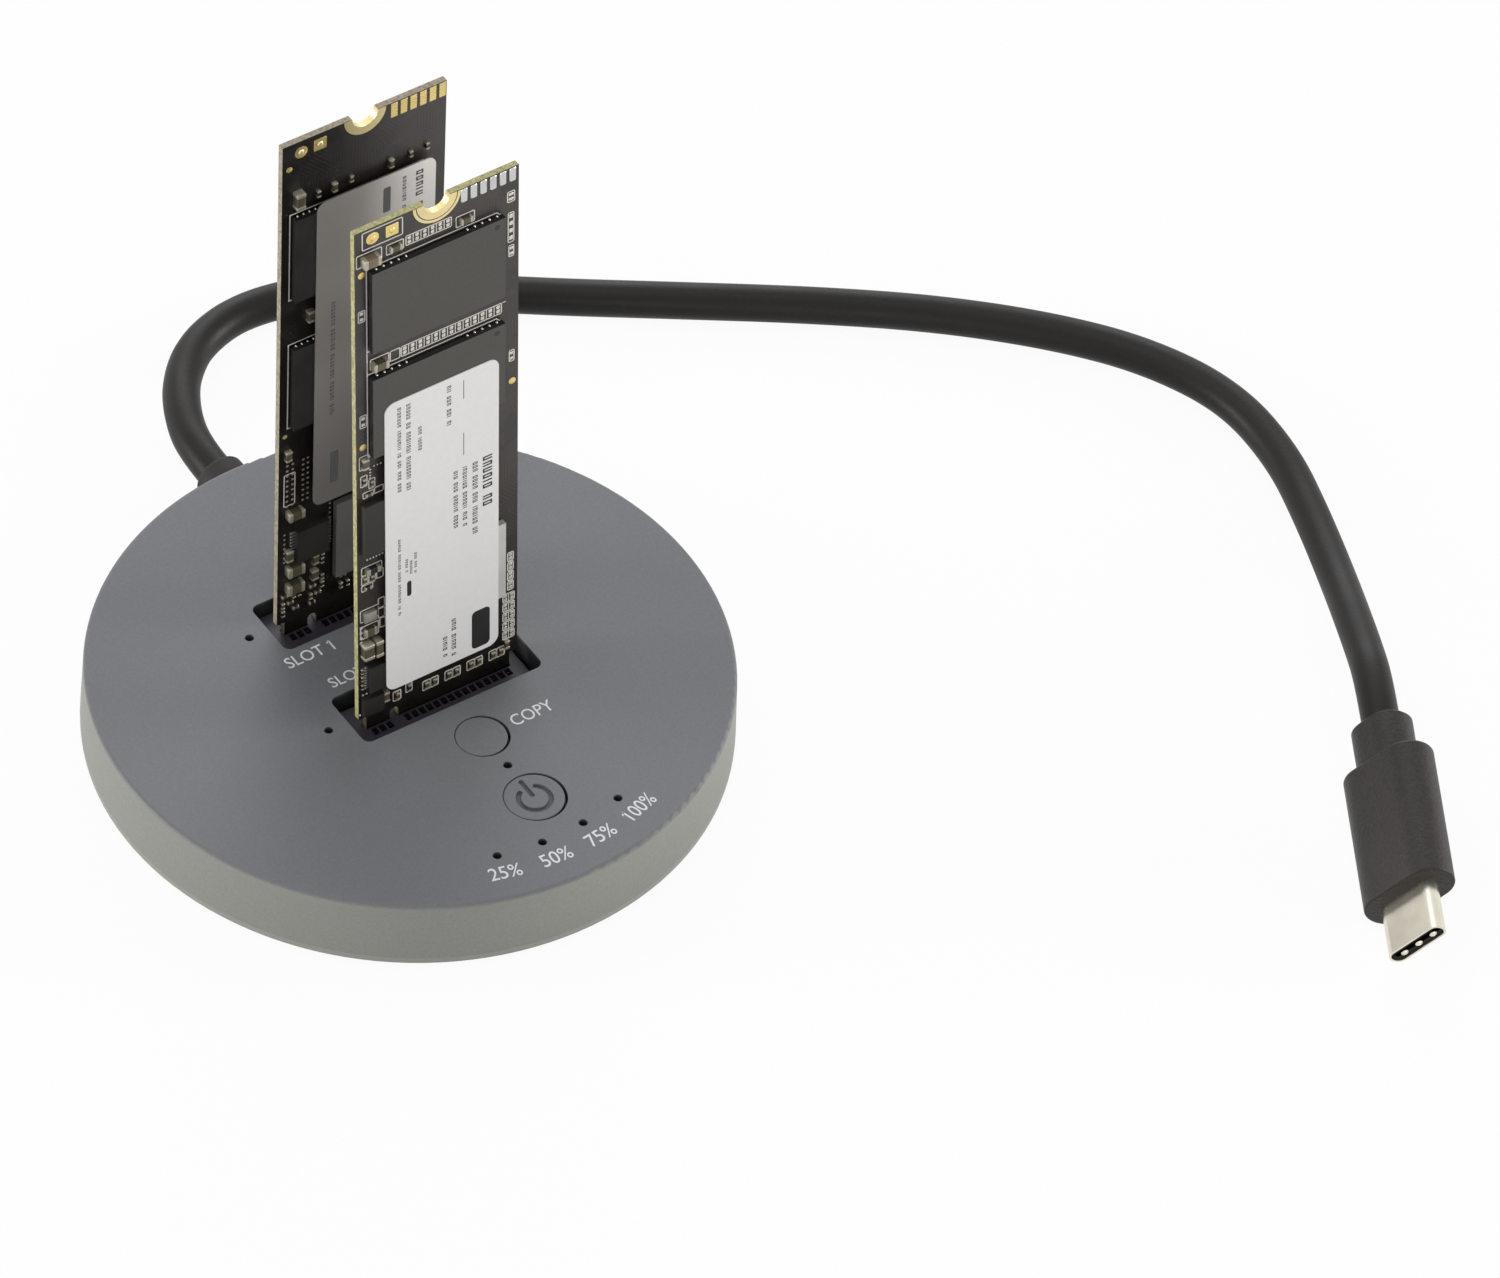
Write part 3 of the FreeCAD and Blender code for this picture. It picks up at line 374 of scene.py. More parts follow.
def ranged(tree, value, low, high, start=0.3, end=0.7):
    """From low to high as the value goes from start to end."""
    return add(tree, "MapRange", {"Value": value, "From Min": start, "From Max": end,
                                  "To Min": low, "To Max": high}).outputs[0]


def darker(tone, share):
    return tuple(value * share for value in tone[:3])


# Effects that materials share

def moulded_grain(group, entry):
    """Spark-eroded plastic: fine grain, broad mottle, and their sum as a height."""
    grain = noise(group, entry["Vector"], entry["Grain Scale"], 4.0, 0.62)
    mottle = noise(group, entry["Vector"], entry["Mottle Scale"], 2.0)
    return grain, mottle, maths(group, "MULTIPLY_ADD", grain, 0.7, maths(group, "MULTIPLY", mottle, 0.3))


def brushed_metal(group, entry):
    """Drawn metal: fine scratches stretched along one direction, and soft smudges."""
    stretched = add(group, "Mapping", {"Vector": entry["Vector"], "Scale": (1.0, 1.0, 9.0)}).outputs[0]
    return noise(group, stretched, entry["Scale"], 5.0, 0.7), noise(group, entry["Vector"], 240.0, 2.0)


def board_traces(group, entry):
    """Copper runs under the mask: parallel lines whose direction changes from one patch to the next."""
    across, _, up = axes(group, entry["Vector"])
    flat = add(group, "CombineXYZ", {"X": across, "Y": up}).outputs[0]
    patches = add(group, "TexVoronoi", {"Vector": flat, "Scale": 330.0}, distance="CHEBYCHEV")
    kind, chance, _ = add(group, "SeparateColor", {0: patches.outputs["Color"]}).outputs

    def lines(value, spacing):
        return maths(group, "LESS_THAN", maths(group, "FRACT", maths(group, "DIVIDE", value, spacing)), 0.45)

    pitch, slanted_pitch = 0.00042, 0.00046
    slanted = maths(group, "MULTIPLY", maths(group, "ADD", across, up), 0.7071)
    first = maths(group, "LESS_THAN", kind, 0.36)
    third = maths(group, "GREATER_THAN", kind, 0.74)
    middle = maths(group, "SUBTRACT", maths(group, "SUBTRACT", 1.0, first), third)
    total = maths(group, "MULTIPLY", first, lines(up, pitch))
    total = maths(group, "MULTIPLY_ADD", third, lines(slanted, slanted_pitch), total)
    total = maths(group, "MULTIPLY_ADD", middle, lines(across, pitch), total)
    shown = maths(group, "MULTIPLY", total, maths(group, "GREATER_THAN", chance, 0.42))
    return shown, maths(group, "GREATER_THAN", noise(group, flat, 190.0, 1.0), 0.52)


# Each effect's function, its inputs with their defaults, and its outputs.
EFFECTS = {
    "moulded_grain": (moulded_grain, {"Vector": None, "Grain Scale": 3500.0, "Mottle Scale": 60.0},
                      ("Grain", "Mottle", "Height")),
    "brushed_metal": (brushed_metal, {"Vector": None, "Scale": 900.0}, ("Scratches", "Smudges")),
    "board_traces": (board_traces, {"Vector": None}, ("Lines", "Planes")),
}


def effect(tree, name, inputs):
    """The outputs of an effect's node group, which is built once and placed in each material."""
    build, entries, outputs = EFFECTS[name]
    group = bpy.data.node_groups.get(name)
    if not group:
        group = bpy.data.node_groups.new(name, "ShaderNodeTree")
        for label, value in entries.items():
            kind = "NodeSocketVector" if value is None else "NodeSocketFloat"
            socket = group.interface.new_socket(name=label, in_out="INPUT", socket_type=kind)
            if value is not None:
                socket.default_value = value
        for label in outputs:
            group.interface.new_socket(name=label, in_out="OUTPUT", socket_type="NodeSocketFloat")
        entry, leave = group.nodes.new("NodeGroupInput"), group.nodes.new("NodeGroupOutput")
        for label, value in zip(outputs, build(group, entry.outputs)):
            group.links.new(value, leave.inputs[label])
    return add(tree, "Group", inputs, node_tree=group).outputs


# Materials

def new_material(name):
    """A material, its nodes, and the object's own coordinates."""
    material = bpy.data.materials.new(name)
    material.use_nodes = True
    return material, material.node_tree, add(material.node_tree, "TexCoord", {}).outputs["Object"]


def own_node(tree, kind):
    """The node of a kind that a material starts with."""
    return next(node for node in tree.nodes if node.type == kind)


def shade(tree, height, depth, inputs):
    """Set the shader's inputs, and let the height raise the surface by up to the depth."""
    shader = own_node(tree, "BSDF_PRINCIPLED")
    for name, value in inputs.items():
        put(tree, shader.inputs[name], value)
    bump = add(tree, "Bump", {"Height": height, "Distance": depth, "Strength": 1.0})
    put(tree, shader.inputs["Normal"], bump.outputs["Normal"])


def plastic(name, tone, roughness, grain, mottle, depth, spread, specular=0.5, tint=None):
    """Moulded plastic, rubber, ceramic or ink: grain and mottle shift the colour, the gloss and the surface.

    A tint is a function that changes the colour."""
    material, tree, vector = new_material(name)
    out = effect(tree, "moulded_grain", {"Vector": vector, "Grain Scale": grain, "Mottle Scale": mottle})
    share = ranged(tree, out["Height"], 0.0, 1.0)
    face = mixed(tree, share, darker(tone, 1 - spread), darker(tone, 1 + spread))
    shade(tree, out["Grain"], depth, {
        "Base Color": tint(tree, vector, face) if tint else face,
        "Roughness": ranged(tree, out["Mottle"], roughness - 0.06, roughness + 0.06),
        "Specular IOR Level": specular,
    })
    return material


def metal(name, tone, roughness, scale, depth=0.000003, purity=1.0, spread=0.33):
    """Plated or drawn metal: scratches change the gloss, smudges change the colour a little."""
    material, tree, vector = new_material(name)
    out = effect(tree, "brushed_metal", {"Vector": vector, "Scale": scale})
    shade(tree, out["Scratches"], depth, {
        "Base Color": mixed(tree, ranged(tree, out["Smudges"], 0.0, 1.0), darker(tone, 0.86), tone),
        "Roughness": ranged(tree, out["Scratches"], roughness * (1 - spread), roughness * (1 + spread)),
        "Metallic": purity,
    })
    return material


def shell_material(name, case, flat_top, painted_hole_shade, depth):
    """Case plastic: fine sparked grain, painted light as a paler outer wall, and painted shade down in the
    openings.
    """
    material, tree, vector = new_material(name)
    out = effect(tree, "moulded_grain", {"Vector": vector, "Grain Scale": 2600.0, "Mottle Scale": 45.0})
    # Painted shade: below the flat top, in the openings and round the button caps, the colour falls to a share
    # of the top's colour.
    high = ranged(tree, axes(tree, vector)["Z"], 0.0, 1.0, flat_top - depth, flat_top - depth * 0.2)
    flat = add(tree, "VectorMath", {0: vector, 1: (1.0, 1.0, 0.0)}, operation="MULTIPLY").outputs[0]
    reach = add(tree, "VectorMath", {0: flat}, operation="LENGTH").outputs["Value"]
    # Painted light: from this reach outwards the outer wall takes the lighter side colour.
    wall_start, wall_end = 0.0375, 0.0378
    outer = ranged(tree, reach, 0.0, 1.0, wall_start, wall_end)
    side = mixed(tree, outer, darker(case.top_colour, painted_hole_shade), case.lit_side_colour)
    shade(tree, out["Grain"], 0.000022, {
        "Base Color": scaled(tree, mixed(tree, high, side, case.top_colour),
                             ranged(tree, out["Height"], 0.90, 1.10)),
        "Roughness": ranged(tree, out["Mottle"], 0.46, 0.58),
        "Specular IOR Level": 0.5,
    })
    return material


def card_vector(tree, vector, card):
    """The drive's own directions: across it, into its face, and up along it."""
    return add(tree, "Mapping", {"Vector": vector, "Location": tuple(card.origin),
                                 "Rotation": tuple(card.euler)}, vector_type="TEXTURE").outputs[0]


def board_material(card, settings):
    """Circuit board: dark mask over copper runs on its faces, yellow-green laminate on its edges.

    The front one has painted shade at its foot, and the rear one painted light at its upper right.
    Places on a drive are metres from the middle of its upper edge."""
    material, tree, vector = new_material(card.drive + "_board_mask")
    local = card_vector(tree, vector, card)
    across, depth, up = axes(tree, local)
    skin = 0.00001
    inside = maths(tree, "MULTIPLY", maths(tree, "GREATER_THAN", depth, skin),
                   maths(tree, "LESS_THAN", depth, card.thickness * MM - skin))
    out = effect(tree, "board_traces", {"Vector": local})
    # Painted shade: the front drive's mask goes darker towards its foot. Painted light: the rear drive's mask
    # is lighter at its upper right.
    if card.drive == "target":
        mask, edge = settings.board_colour, settings.edge_colour
        patch, painted_lighting_tone = ranged(tree, up, 1.0, 0.0, -0.070, -0.058), darker(mask, 0.3)
    else:
        mask, edge = darker(settings.board_colour, 0.22), (0.36, 0.31, 0.23)
        patch = maths(tree, "MULTIPLY", ranged(tree, across, 0.0, 1.0, -0.006, 0.009),
                      ranged(tree, up, 0.0, 1.0, -0.030, -0.008))
        painted_lighting_tone = darker(settings.board_colour, 1.7)
    run = mixed(tree, out["Planes"], mask, darker(mask, 1.3))
    copper = mixed(tree, out["Lines"], run, (mask[0] * 1.6, mask[1] * 1.5, mask[2] * 1.35))
    # Mix in that painted shade and painted light.
    copper = mixed(tree, patch, copper, painted_lighting_tone)
    weave = noise(tree, local, 2400.0, 3.0)
    laminate = mixed(tree, ranged(tree, weave, 0.0, 1.0), darker(edge, 0.6), darker(edge, 1.3))
    gloss = ranged(tree, noise(tree, local, 420.0, 2.0), 0.30, 0.44)
    height = maths(tree, "MULTIPLY_ADD", out["Lines"], 0.6, maths(tree, "MULTIPLY", weave, 0.3))
    shade(tree, height, 0.00001, {
        "Base Color": mixed(tree, inside, copper, laminate),
        "Roughness": maths(tree, "MULTIPLY_ADD", inside, 0.4, gloss),
    })
    return material


def package_material(card, tone):
    """Moulded chip: grained face, and painted shade that draws its sides almost black."""
    def painted_side_shade(tree, vector, face):
        depth = axes(tree, card_vector(tree, vector, card))["Y"]
        return mixed(tree, maths(tree, "GREATER_THAN", depth, -0.00093), face, darker(tone, 0.12))

    return plastic(card.drive + "_package", tone, 0.46, 3800.0, 300.0, 0.000012, 0.14, tint=painted_side_shade)


def label_material(name, tone, roughness, shine=0.0, card=None):
    """Printed film: faint fibres, a soft sheen and slight waves.

    With a drive given, the film has painted light at its upper right and painted shade at its foot."""
    material, tree, vector = new_material(name)
    fibre = noise(tree, vector, 1500.0, 4.0, 0.6)
    wave = noise(tree, vector, 110.0, 2.0)
    film = mixed(tree, ranged(tree, fibre, 0.0, 1.0), darker(tone, 0.96), tone)
    if card:
        across, _, up = axes(tree, card_vector(tree, vector, card))
        # Painted light towards the upper right, and painted shade towards the foot.
        corner = maths(tree, "MULTIPLY", ranged(tree, across, 0.0, 1.0, -0.001, 0.008),
                       ranged(tree, up, 0.0, 1.0, -0.026, -0.010))
        lower = ranged(tree, up, 0.72, 1.0, -0.055, -0.035)
        film = scaled(tree, film, maths(tree, "MULTIPLY_ADD", corner, 0.75, lower))
    height = maths(tree, "MULTIPLY_ADD", wave, 0.9, maths(tree, "MULTIPLY", fibre, 0.1))
    shade(tree, height, 0.00003, {
        "Base Color": film,
        "Roughness": ranged(tree, wave, roughness - 0.05, roughness + 0.05),
        "Metallic": shine,
    })
    return material


def lens_material(name):
    """Dark smoked plastic for the light holes."""
    material, tree, vector = new_material(name)
    cloud = noise(tree, vector, 900.0, 2.0)
    shade(tree, cloud, 0.000004, {
        "Base Color": mixed(tree, cloud, (0.002, 0.002, 0.0022), (0.004, 0.004, 0.0044)),
        "Roughness": ranged(tree, cloud, 0.4, 0.6),
        "IOR": 1.49,
    })
    return material


# Tone, roughness, grain scale, mottle scale, bump depth, spread of the colour, and its own specular level.
PLASTICS = {
    "band_plastic": (None, 0.5, 2600.0, 45.0, 0.00001, 0.06, 0.4),
    "soft_black_rubber": ((0.022, 0.020, 0.018), 0.6, 1800.0, 120.0, 0.00002, 0.2, 0.3),
    "mouth_plastic": ((0.006, 0.0055, 0.005), 0.5, 1800.0, 300.0, 0.00001, 0.2, 0.2),
    "masked_via": ((0.055, 0.048, 0.036), 0.4, 2600.0, 500.0, 0.000004, 0.2),
    "cord_jacket": (None, 0.46, 1900.0, 90.0, 0.00003, 0.2, 0.2),
    "plug_body": (None, 0.44, 2300.0, 150.0, 0.0001, 0.5, 0.3),
    "chip_epoxy": (None, 0.5, 3800.0, 300.0, 0.000012, 0.12),
    "dark_chip_epoxy": (None, 0.5, 3800.0, 300.0, 0.000012, 0.12),
    "dark_ceramic": ((0.082, 0.066, 0.040), 0.36, 2600.0, 500.0, 0.000006, 0.16),
    "capacitor_ceramic": ((0.175, 0.135, 0.090), 0.42, 2600.0, 500.0, 0.000006, 0.14),
    "resistor_glaze": ((0.014, 0.014, 0.016), 0.3, 2600.0, 500.0, 0.000004, 0.2),
    "inductor_ferrite": ((0.07, 0.067, 0.064), 0.5, 2400.0, 400.0, 0.00001, 0.2),
    "socket_plastic": ((0.040, 0.036, 0.047), 0.46, 3000.0, 300.0, 0.00001, 0.18),
    "white_ink": ((0.62, 0.62, 0.58), 0.6, 3200.0, 500.0, 0.000004, 0.08),
    "case_print": (None, 0.6, 3200.0, 500.0, 0.000004, 0.06),
    "black_ink": ((0.012, 0.012, 0.013), 0.45, 3200.0, 500.0, 0.000003, 0.2),
    "grey_ink": ((0.10, 0.10, 0.105), 0.5, 3200.0, 500.0, 0.000003, 0.12),
    "header_nylon": ((0.62, 0.60, 0.54), 0.5, 2200.0, 200.0, 0.000008, 0.05),
    "lamp_resin": ((0.70, 0.66, 0.42), 0.35, 1800.0, 500.0, 0.000004, 0.08),
    "wire_jacket": ((0.30, 0.035, 0.03), 0.5, 1800.0, 300.0, 0.000008, 0.1),
    "main_board_mask": ((0.012, 0.075, 0.030), 0.35, 2200.0, 260.0, 0.000008, 0.2),
}

# Tone, roughness and scratch scale, then any bump depth, metallic share and spread of roughness of its own.
METALS = {
    "contact_gold": ((0.84, 0.645, 0.235), 0.3, 1400.0, 0.000002, 0.62),
    "half_hole_gold": ((0.84, 0.70, 0.36), 0.36, 1400.0, 0.000001, 0.62, 0.1),
    "solder_gold": ((0.92, 0.80, 0.52), 0.34, 1400.0, 0.000002, 0.6),
    # Socket springs: metal drawn almost black, painted shade for their place deep in the socket.
    "spring_bronze": ((0.06, 0.045, 0.028), 0.42, 1400.0),
    "plated_ends": ((0.46, 0.43, 0.34), 0.46, 900.0, 0.000008, 0.7),
    "pad_tin": ((0.70, 0.67, 0.60), 0.5, 900.0, 0.000008, 0.6),
    "solder_tin": ((0.66, 0.66, 0.65), 0.34, 900.0, 0.000008),
    "screw_steel": ((0.50, 0.50, 0.50), 0.3, 1100.0),
    "plug_nickel": ((0.80, 0.75, 0.64), 0.25, 420.0, 0.0000006, 1.0, 0.12),
    "controller_lid": ((0.72, 0.71, 0.68), 0.42, 1100.0, 0.000002, 0.5),
    "dark_lid": ((0.21, 0.205, 0.195), 0.45, 1100.0, 0.000002, 0.5),
    "coil_case": ((0.34, 0.325, 0.28), 0.45, 1100.0, 0.000002, 0.5),
}

LOOKS = {}


def build_looks(scene):
    """Make every finish that pieces share. Those with no tone in the tables have a setting's colour."""
    case, cards = scene.duplicator_case, scene.duplicator_cards
    tones = {
        "band_plastic": case.band_colour, "case_print": case.print_colour,
        "cord_jacket": scene.duplicator_cord.jacket_colour, "plug_body": scene.duplicator_cord.plug_colour,
        "chip_epoxy": cards.package_colour, "dark_chip_epoxy": darker(cards.package_colour, 0.28),
    }
    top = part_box("top_cover")[1][2]
    for name, (tone, *numbers) in PLASTICS.items():
        LOOKS[name] = plastic(name, tone or tones[name], *numbers)
    for name, numbers in METALS.items():
        LOOKS[name] = metal(name, *numbers)
    LOOKS.update({
        # Painted shade in the case's openings at 0.3 of the top colour, and in the gap round the button caps
        # at 0.55.
        "shell_plastic": shell_material("shell_plastic", case, top, 0.3, 0.0005),
        "button_plastic": shell_material("button_plastic", case, top + 0.00002, 0.55, 0.0004),
        "smoked_lens": lens_material("smoked_lens"),
        "white_film": label_material("white_film", cards.front_label_colour, 0.36),
        "silver_film": label_material("silver_film", cards.rear_label_colour, 0.34, 0.6, CardPlace("source")),
    })


def look(name):
    """A finish by its name. The first call makes them all."""
    if not LOOKS:
        build_looks(bpy.context.scene)
    return LOOKS[name]


def dress(finishes):
    """Give frame parts their finishes, each a finish's name or a material."""
    for node, finish in finishes.items():
        for slot in frame["nodes"][node].material_slots:
            slot.material = look(finish) if isinstance(finish, str) else finish


# Case

class DUPLICATOR_OT_case(bpy.types.Operator):
    """Finish the cover, the band, the feet, the screws, the light pipes and the lights"""

    bl_idname = "duplicator.case"
    bl_label = "Case"

    def execute(self, context):
        dress({"top_cover": "shell_plastic", "bottom_cover": "band_plastic", "foot_pads": "soft_black_rubber",
               "case_screws": "screw_steel", "light_pipes": "smoked_lens", "status_lights": "lamp_resin"})
        return {"FINISHED"}


def words_surface(words):
    """The outline of some words as a flat slab, with slightly thickened strokes."""
    curve = bpy.data.curves.new("words", "FONT")
    curve.body = words
    curve.extrude = 0.01
    curve.offset = 0.004
    curve.resolution_u = 4
    carrier = new_object("words", curve)
    graph = bpy.context.evaluated_depsgraph_get()
    mesh = bpy.data.meshes.new_from_object(carrier.evaluated_get(graph))
    points, faces = mesh_points(mesh), [tuple(polygon.vertices) for polygon in mesh.polygons]
    bpy.data.objects.remove(carrier)
    bpy.data.curves.remove(curve)
    bpy.data.meshes.remove(mesh)
    return points, faces


def one_flag(words, points):
    """The slanted stroke at the top of a digit one that starts or ends the words: a thin four-sided slab.

    Its sizes are shares of the font's own height."""
    stem = words_surface("1")[0]
    width, top = np.ptp(stem[:, 0]), stem[:, 1].max()
    right = points[:, 0].min() + width if words.startswith("1") else points[:, 0].max()
    inner, outer = right - width * 0.2, right - width - 0.13
    u = np.array([inner, outer, outer, inner])
    v = np.array([top, top - 0.11, top - 0.195, top - 0.08])
    level = np.array([points[:, 2].min(), points[:, 2].max()])
    corners = np.stack([np.tile(u, 2), np.tile(v, 2), np.repeat(level, 4)], axis=1)
    return corners, tube_faces(1, 2, 4)


def flat_words(name, words, centre, size, angle, height):
    """Words of a given width and height, turned about their middle and laid on the cover's top."""
    points, faces = words_surface(words)
    if "1" in (words[0], words[-1]):
        points, faces = joined([(points, faces), one_flag(words, points)])
    low, high = points.min(axis=0), points.max(axis=0)
    points = (points - (low + high) / 2) / (high - low) * np.array([size[0] * MM, size[1] * MM, height])
    cosine, sine = math.cos(angle), math.sin(angle)
    turn = np.array([[cosine, -sine, 0], [sine, cosine, 0], [0, 0, 1]])
    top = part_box("top_cover")[1][2]
    points = points @ turn.T + np.array([centre[0] * MM, centre[1] * MM, top + height / 2])
    mesh_piece(name, (points, faces), "case_print", "base")


class DUPLICATOR_OT_case_print(bpy.types.Operator):
    """Print the words by the slots and the numbers of the scale on the cover"""

    bl_idname = "duplicator.case_print"
    bl_label = "Case print"

    def execute(self, context):
        height = context.scene.duplicator_case.print_height
        flat_words("slot_1_words", "SLOT 1", (-9.2, 7.65), (6.4, 1.7), 0.0, height)
        flat_words("slot_2_words", "SLOT 2", (-6.5, 2.4), (6.4, 1.6), 0.0, height)
        flat_words("copy_words", "COPY", (8.0, -13.6), (5.6, 1.75), 0.0, height)
        reach = 34.2
        for number, bearing, width in (("25", -104.2, 3.9), ("50", -93.4, 3.9), ("75", -82.9, 3.9),
                                       ("100", -72.2, 4.7)):
            turn = math.radians(bearing)
            flat_words("scale_" + number, number + "%", (reach * math.cos(turn), reach * math.sin(turn)),
                       (width, 1.95), turn + math.pi / 2, height)
        return {"FINISHED"}


def symbol_groove(case, u, v):
    """How far the face is sunk at each point, for a ring open at the top with a stroke in its gap.

    It is the groove's depth where the distance to the ring or the stroke is under half the groove's width."""
    middle, opening, softness = -0.00015, math.radians(34), 0.00007
    stroke_foot, stroke_head = middle + 0.00058, middle + 0.00293
    radius = case.symbol_radius
    side, up = radius * math.sin(opening), middle + radius * math.cos(opening)
    near_end = np.minimum(np.hypot(u - side, v - up), np.hypot(u + side, v - up))
    in_ring = np.abs(np.arctan2(u, v - middle)) > opening
    to_ring = np.where(in_ring, np.abs(np.hypot(u, v - middle) - radius), near_end)
    to_stroke = np.hypot(u, v - np.clip(v, stroke_foot, stroke_head))
    gap = np.minimum(to_ring, to_stroke) - case.groove_width / 2
    sunk = np.clip(0.5 - gap / softness, 0, 1)
    return case.groove_depth * sunk * sunk * (3 - 2 * sunk)


def turned(profile, angle):
    """A profile of radius and height, carried round the upright axis."""
    reach, level = np.array(profile).T[:, :, None]
    return np.stack([reach * np.cos(angle), reach * np.sin(angle), level + 0 * angle], axis=-1)


def button_surface(name, case):
    """A button's cap, flange and stem: the face is a polar grid, lowered in the power symbol's groove.

    Its rim is an arc, and a profile of radius and height is carried round for the rest. Down to the flange,
    the rings stand a little to one side, as a loose cap does in its hole."""
    low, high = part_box(name)
    centre = (np.array(low) + np.array(high)) / 2
    face, foot, flange = high[2], low[2], (high[0] - low[0]) / 2
    radius = flange - 0.0009
    flange_top, flange_thickness = 0.00835, 0.0006
    wall, roof, stem = 0.0008, 0.0009, 0.0013
    edge = 0.00012
    around = 240
    rings = np.linspace(0.00004, radius - edge, 74)
    angle = np.arange(around) / around * 2 * math.pi
    u, v = rings[:, None] * np.cos(angle), rings[:, None] * np.sin(angle)
    sunk = symbol_groove(case, u, v) if name == "power_button" else 0.0
    top = np.stack([u, v, face - sunk + 0 * u], axis=-1)
    upper = [(radius - edge * inset, face - edge * fall)
             for inset, fall in ((0.62, 0.08), (0.29, 0.29), (0.08, 0.62), (0, 1))] + [(radius, flange_top)]
    under = [(flange, flange_top), (flange, flange_top - flange_thickness),
             (radius - wall, flange_top - flange_thickness), (radius - wall, face - roof),
             (stem, face - roof), (stem, foot)]
    aside = case.cap_shift * np.array([-0.83, 0.56, 0.0])
    grid = np.concatenate([top + aside, turned(upper, angle) + aside, turned(under, angle)])
    grid += np.array([centre[0], centre[1], 0.0])
    return grid.reshape(-1, 3), tube_faces(1, len(grid), around)


class DUPLICATOR_OT_buttons(bpy.types.Operator):
    """Make the two buttons, the power button with its pressed-in ring and stroke"""

    bl_idname = "duplicator.buttons"
    bl_label = "Buttons"

    def execute(self, context):
        for name in ("copy_button", "power_button"):
            surface = button_surface(name, context.scene.duplicator_case)
            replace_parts(mesh_piece(name + "_cap", surface, "button_plastic", name, 0.5), name)
        return {"FINISHED"}


# Sockets

class DUPLICATOR_OT_sockets(bpy.types.Operator):
    """Finish the two sockets, their springs and their solder tabs"""

    bl_idname = "duplicator.sockets"
    bl_label = "Sockets"

    def execute(self, context):
        for drive in ("source", "target"):
            dress({drive + "_socket": "socket_plastic", drive + "_socket_contacts": "spring_bronze",
                   drive + "_socket_tabs": "solder_tin"})
        return {"FINISHED"}


# Drives

class DUPLICATOR_OT_drives(bpy.types.Operator):
    """Finish the boards, chips, lids and labels of both drives"""

    bl_idname = "duplicator.drives"
    bl_label = "Drives"

    def execute(self, context):
        cards = context.scene.duplicator_cards
        # The rear drive's flash packages take 0.3 of the tone: partly a blacker package, partly painted shade.
        for drive, flash_tone_and_shade_share, lid in (("source", 0.3, "dark_lid"), ("target", 1.0, "controller_lid")):
            card = CardPlace(drive)
            dress({drive + "_drive_board": board_material(card, cards),
                   drive + "_drive_flash": package_material(card, darker(cards.package_colour, flash_tone_and_shade_share)),
                   drive + "_drive_controller": lid})
        dress({"source_drive_label": "silver_film", "source_drive_power_chip": "dark_chip_epoxy",
               "target_drive_power_chips": "dark_chip_epoxy", "target_drive_memory": "dark_chip_epoxy"})
        film = block_surface([(3.2, 27.0, 15.5, 45.4, FILM)], [(0, 0), (0, 0.8), (0.02, 1)], 1.4, 10)
        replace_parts(CardPlace("target").piece("label_film", film, "white_film", CHIP_FACE),
                    "target_drive_label")
        return {"FINISHED"}


# Places on a drive's face, in millimetres: left, down, width and height, and for parts their thickness.
TARGET_CAPACITORS = [
    (0.75, 3.75, 2.3, 1.4, 1.1), (4.5, 3.95, 1.7, 0.9, 0.5), (13.9, 4.25, 1.7, 0.95, 0.55),
    (2.0, 20.3, 2.1, 1.25, 0.9), (0.6, 34.6, 0.9, 1.6, 0.6), (0.75, 61.7, 1.7, 1.3, 0.45),
    (0.3, 63.7, 1.45, 2.4, 1.05), (1.9, 63.7, 1.1, 2.6, 1.05), (3.15, 73.1, 0.95, 1.6, 0.5),
]
SOURCE_CAPACITORS = [
    (1.45, 7.3, 1.25, 2.45, 1.0), (6.6, 8.3, 0.7, 1.4, 0.5), (14.2, 8.3, 0.7, 1.4, 0.5),
    (3.4, 26.6, 1.0, 1.8, 0.7), (0.7, 47.8, 0.9, 1.6, 0.6), (1.0, 57.6, 2.2, 1.4, 1.0),
    (0.9, 64.0, 1.0, 1.8, 0.7), (1.0, 66.6, 2.3, 1.6, 1.0), (1.0, 69.5, 2.3, 1.6, 1.0),
    (4.6, 66.5, 0.9, 1.6, 0.6), (4.4, 68.9, 1.0, 1.6, 0.7),
]
TARGET_SMALL = [
    (0.75, 37.8, 0.45, 1.0, 0.32), (1.85, 38.6, 0.45, 1.0, 0.32), (1.1, 40.35, 1.0, 0.5, 0.32),
    (2.55, 40.35, 0.9, 0.45, 0.32), (2.6, 39.3, 1.1, 0.5, 0.32), (1.0, 52.15, 2.0, 0.9, 0.55),
    (0.75, 53.45, 0.5, 1.0, 0.32), (1.75, 53.55, 0.5, 1.0, 0.32), (2.8, 53.35, 0.5, 1.0, 0.32),
    (0.85, 55.0, 1.0, 0.5, 0.32), (20.15, 73.7, 0.62, 1.35, 0.4), (3.0, 58.1, 0.45, 1.1, 0.32),
    (3.0, 59.7, 0.45, 1.1, 0.32), (3.15, 61.25, 0.4, 1.1, 0.32), (5.05, 74.2, 0.5, 1.2, 0.35),
    (6.7, 73.7, 0.5, 1.1, 0.35), (4.0, 66.9, 0.5, 1.0, 0.32), (4.8, 66.9, 0.5, 1.0, 0.32),
    (0.3, 67.9, 0.42, 0.8, 0.3), (0.3, 69.1, 0.42, 0.8, 0.3), (0.3, 70.4, 0.42, 0.8, 0.3),
]
SOURCE_SMALL = [
    (4.6, 8.6, 0.5, 1.0, 0.35), (9.0, 8.4, 0.5, 1.0, 0.35), (17.0, 8.4, 0.5, 1.0, 0.35),
    (19.2, 8.2, 0.5, 1.0, 0.35),
]

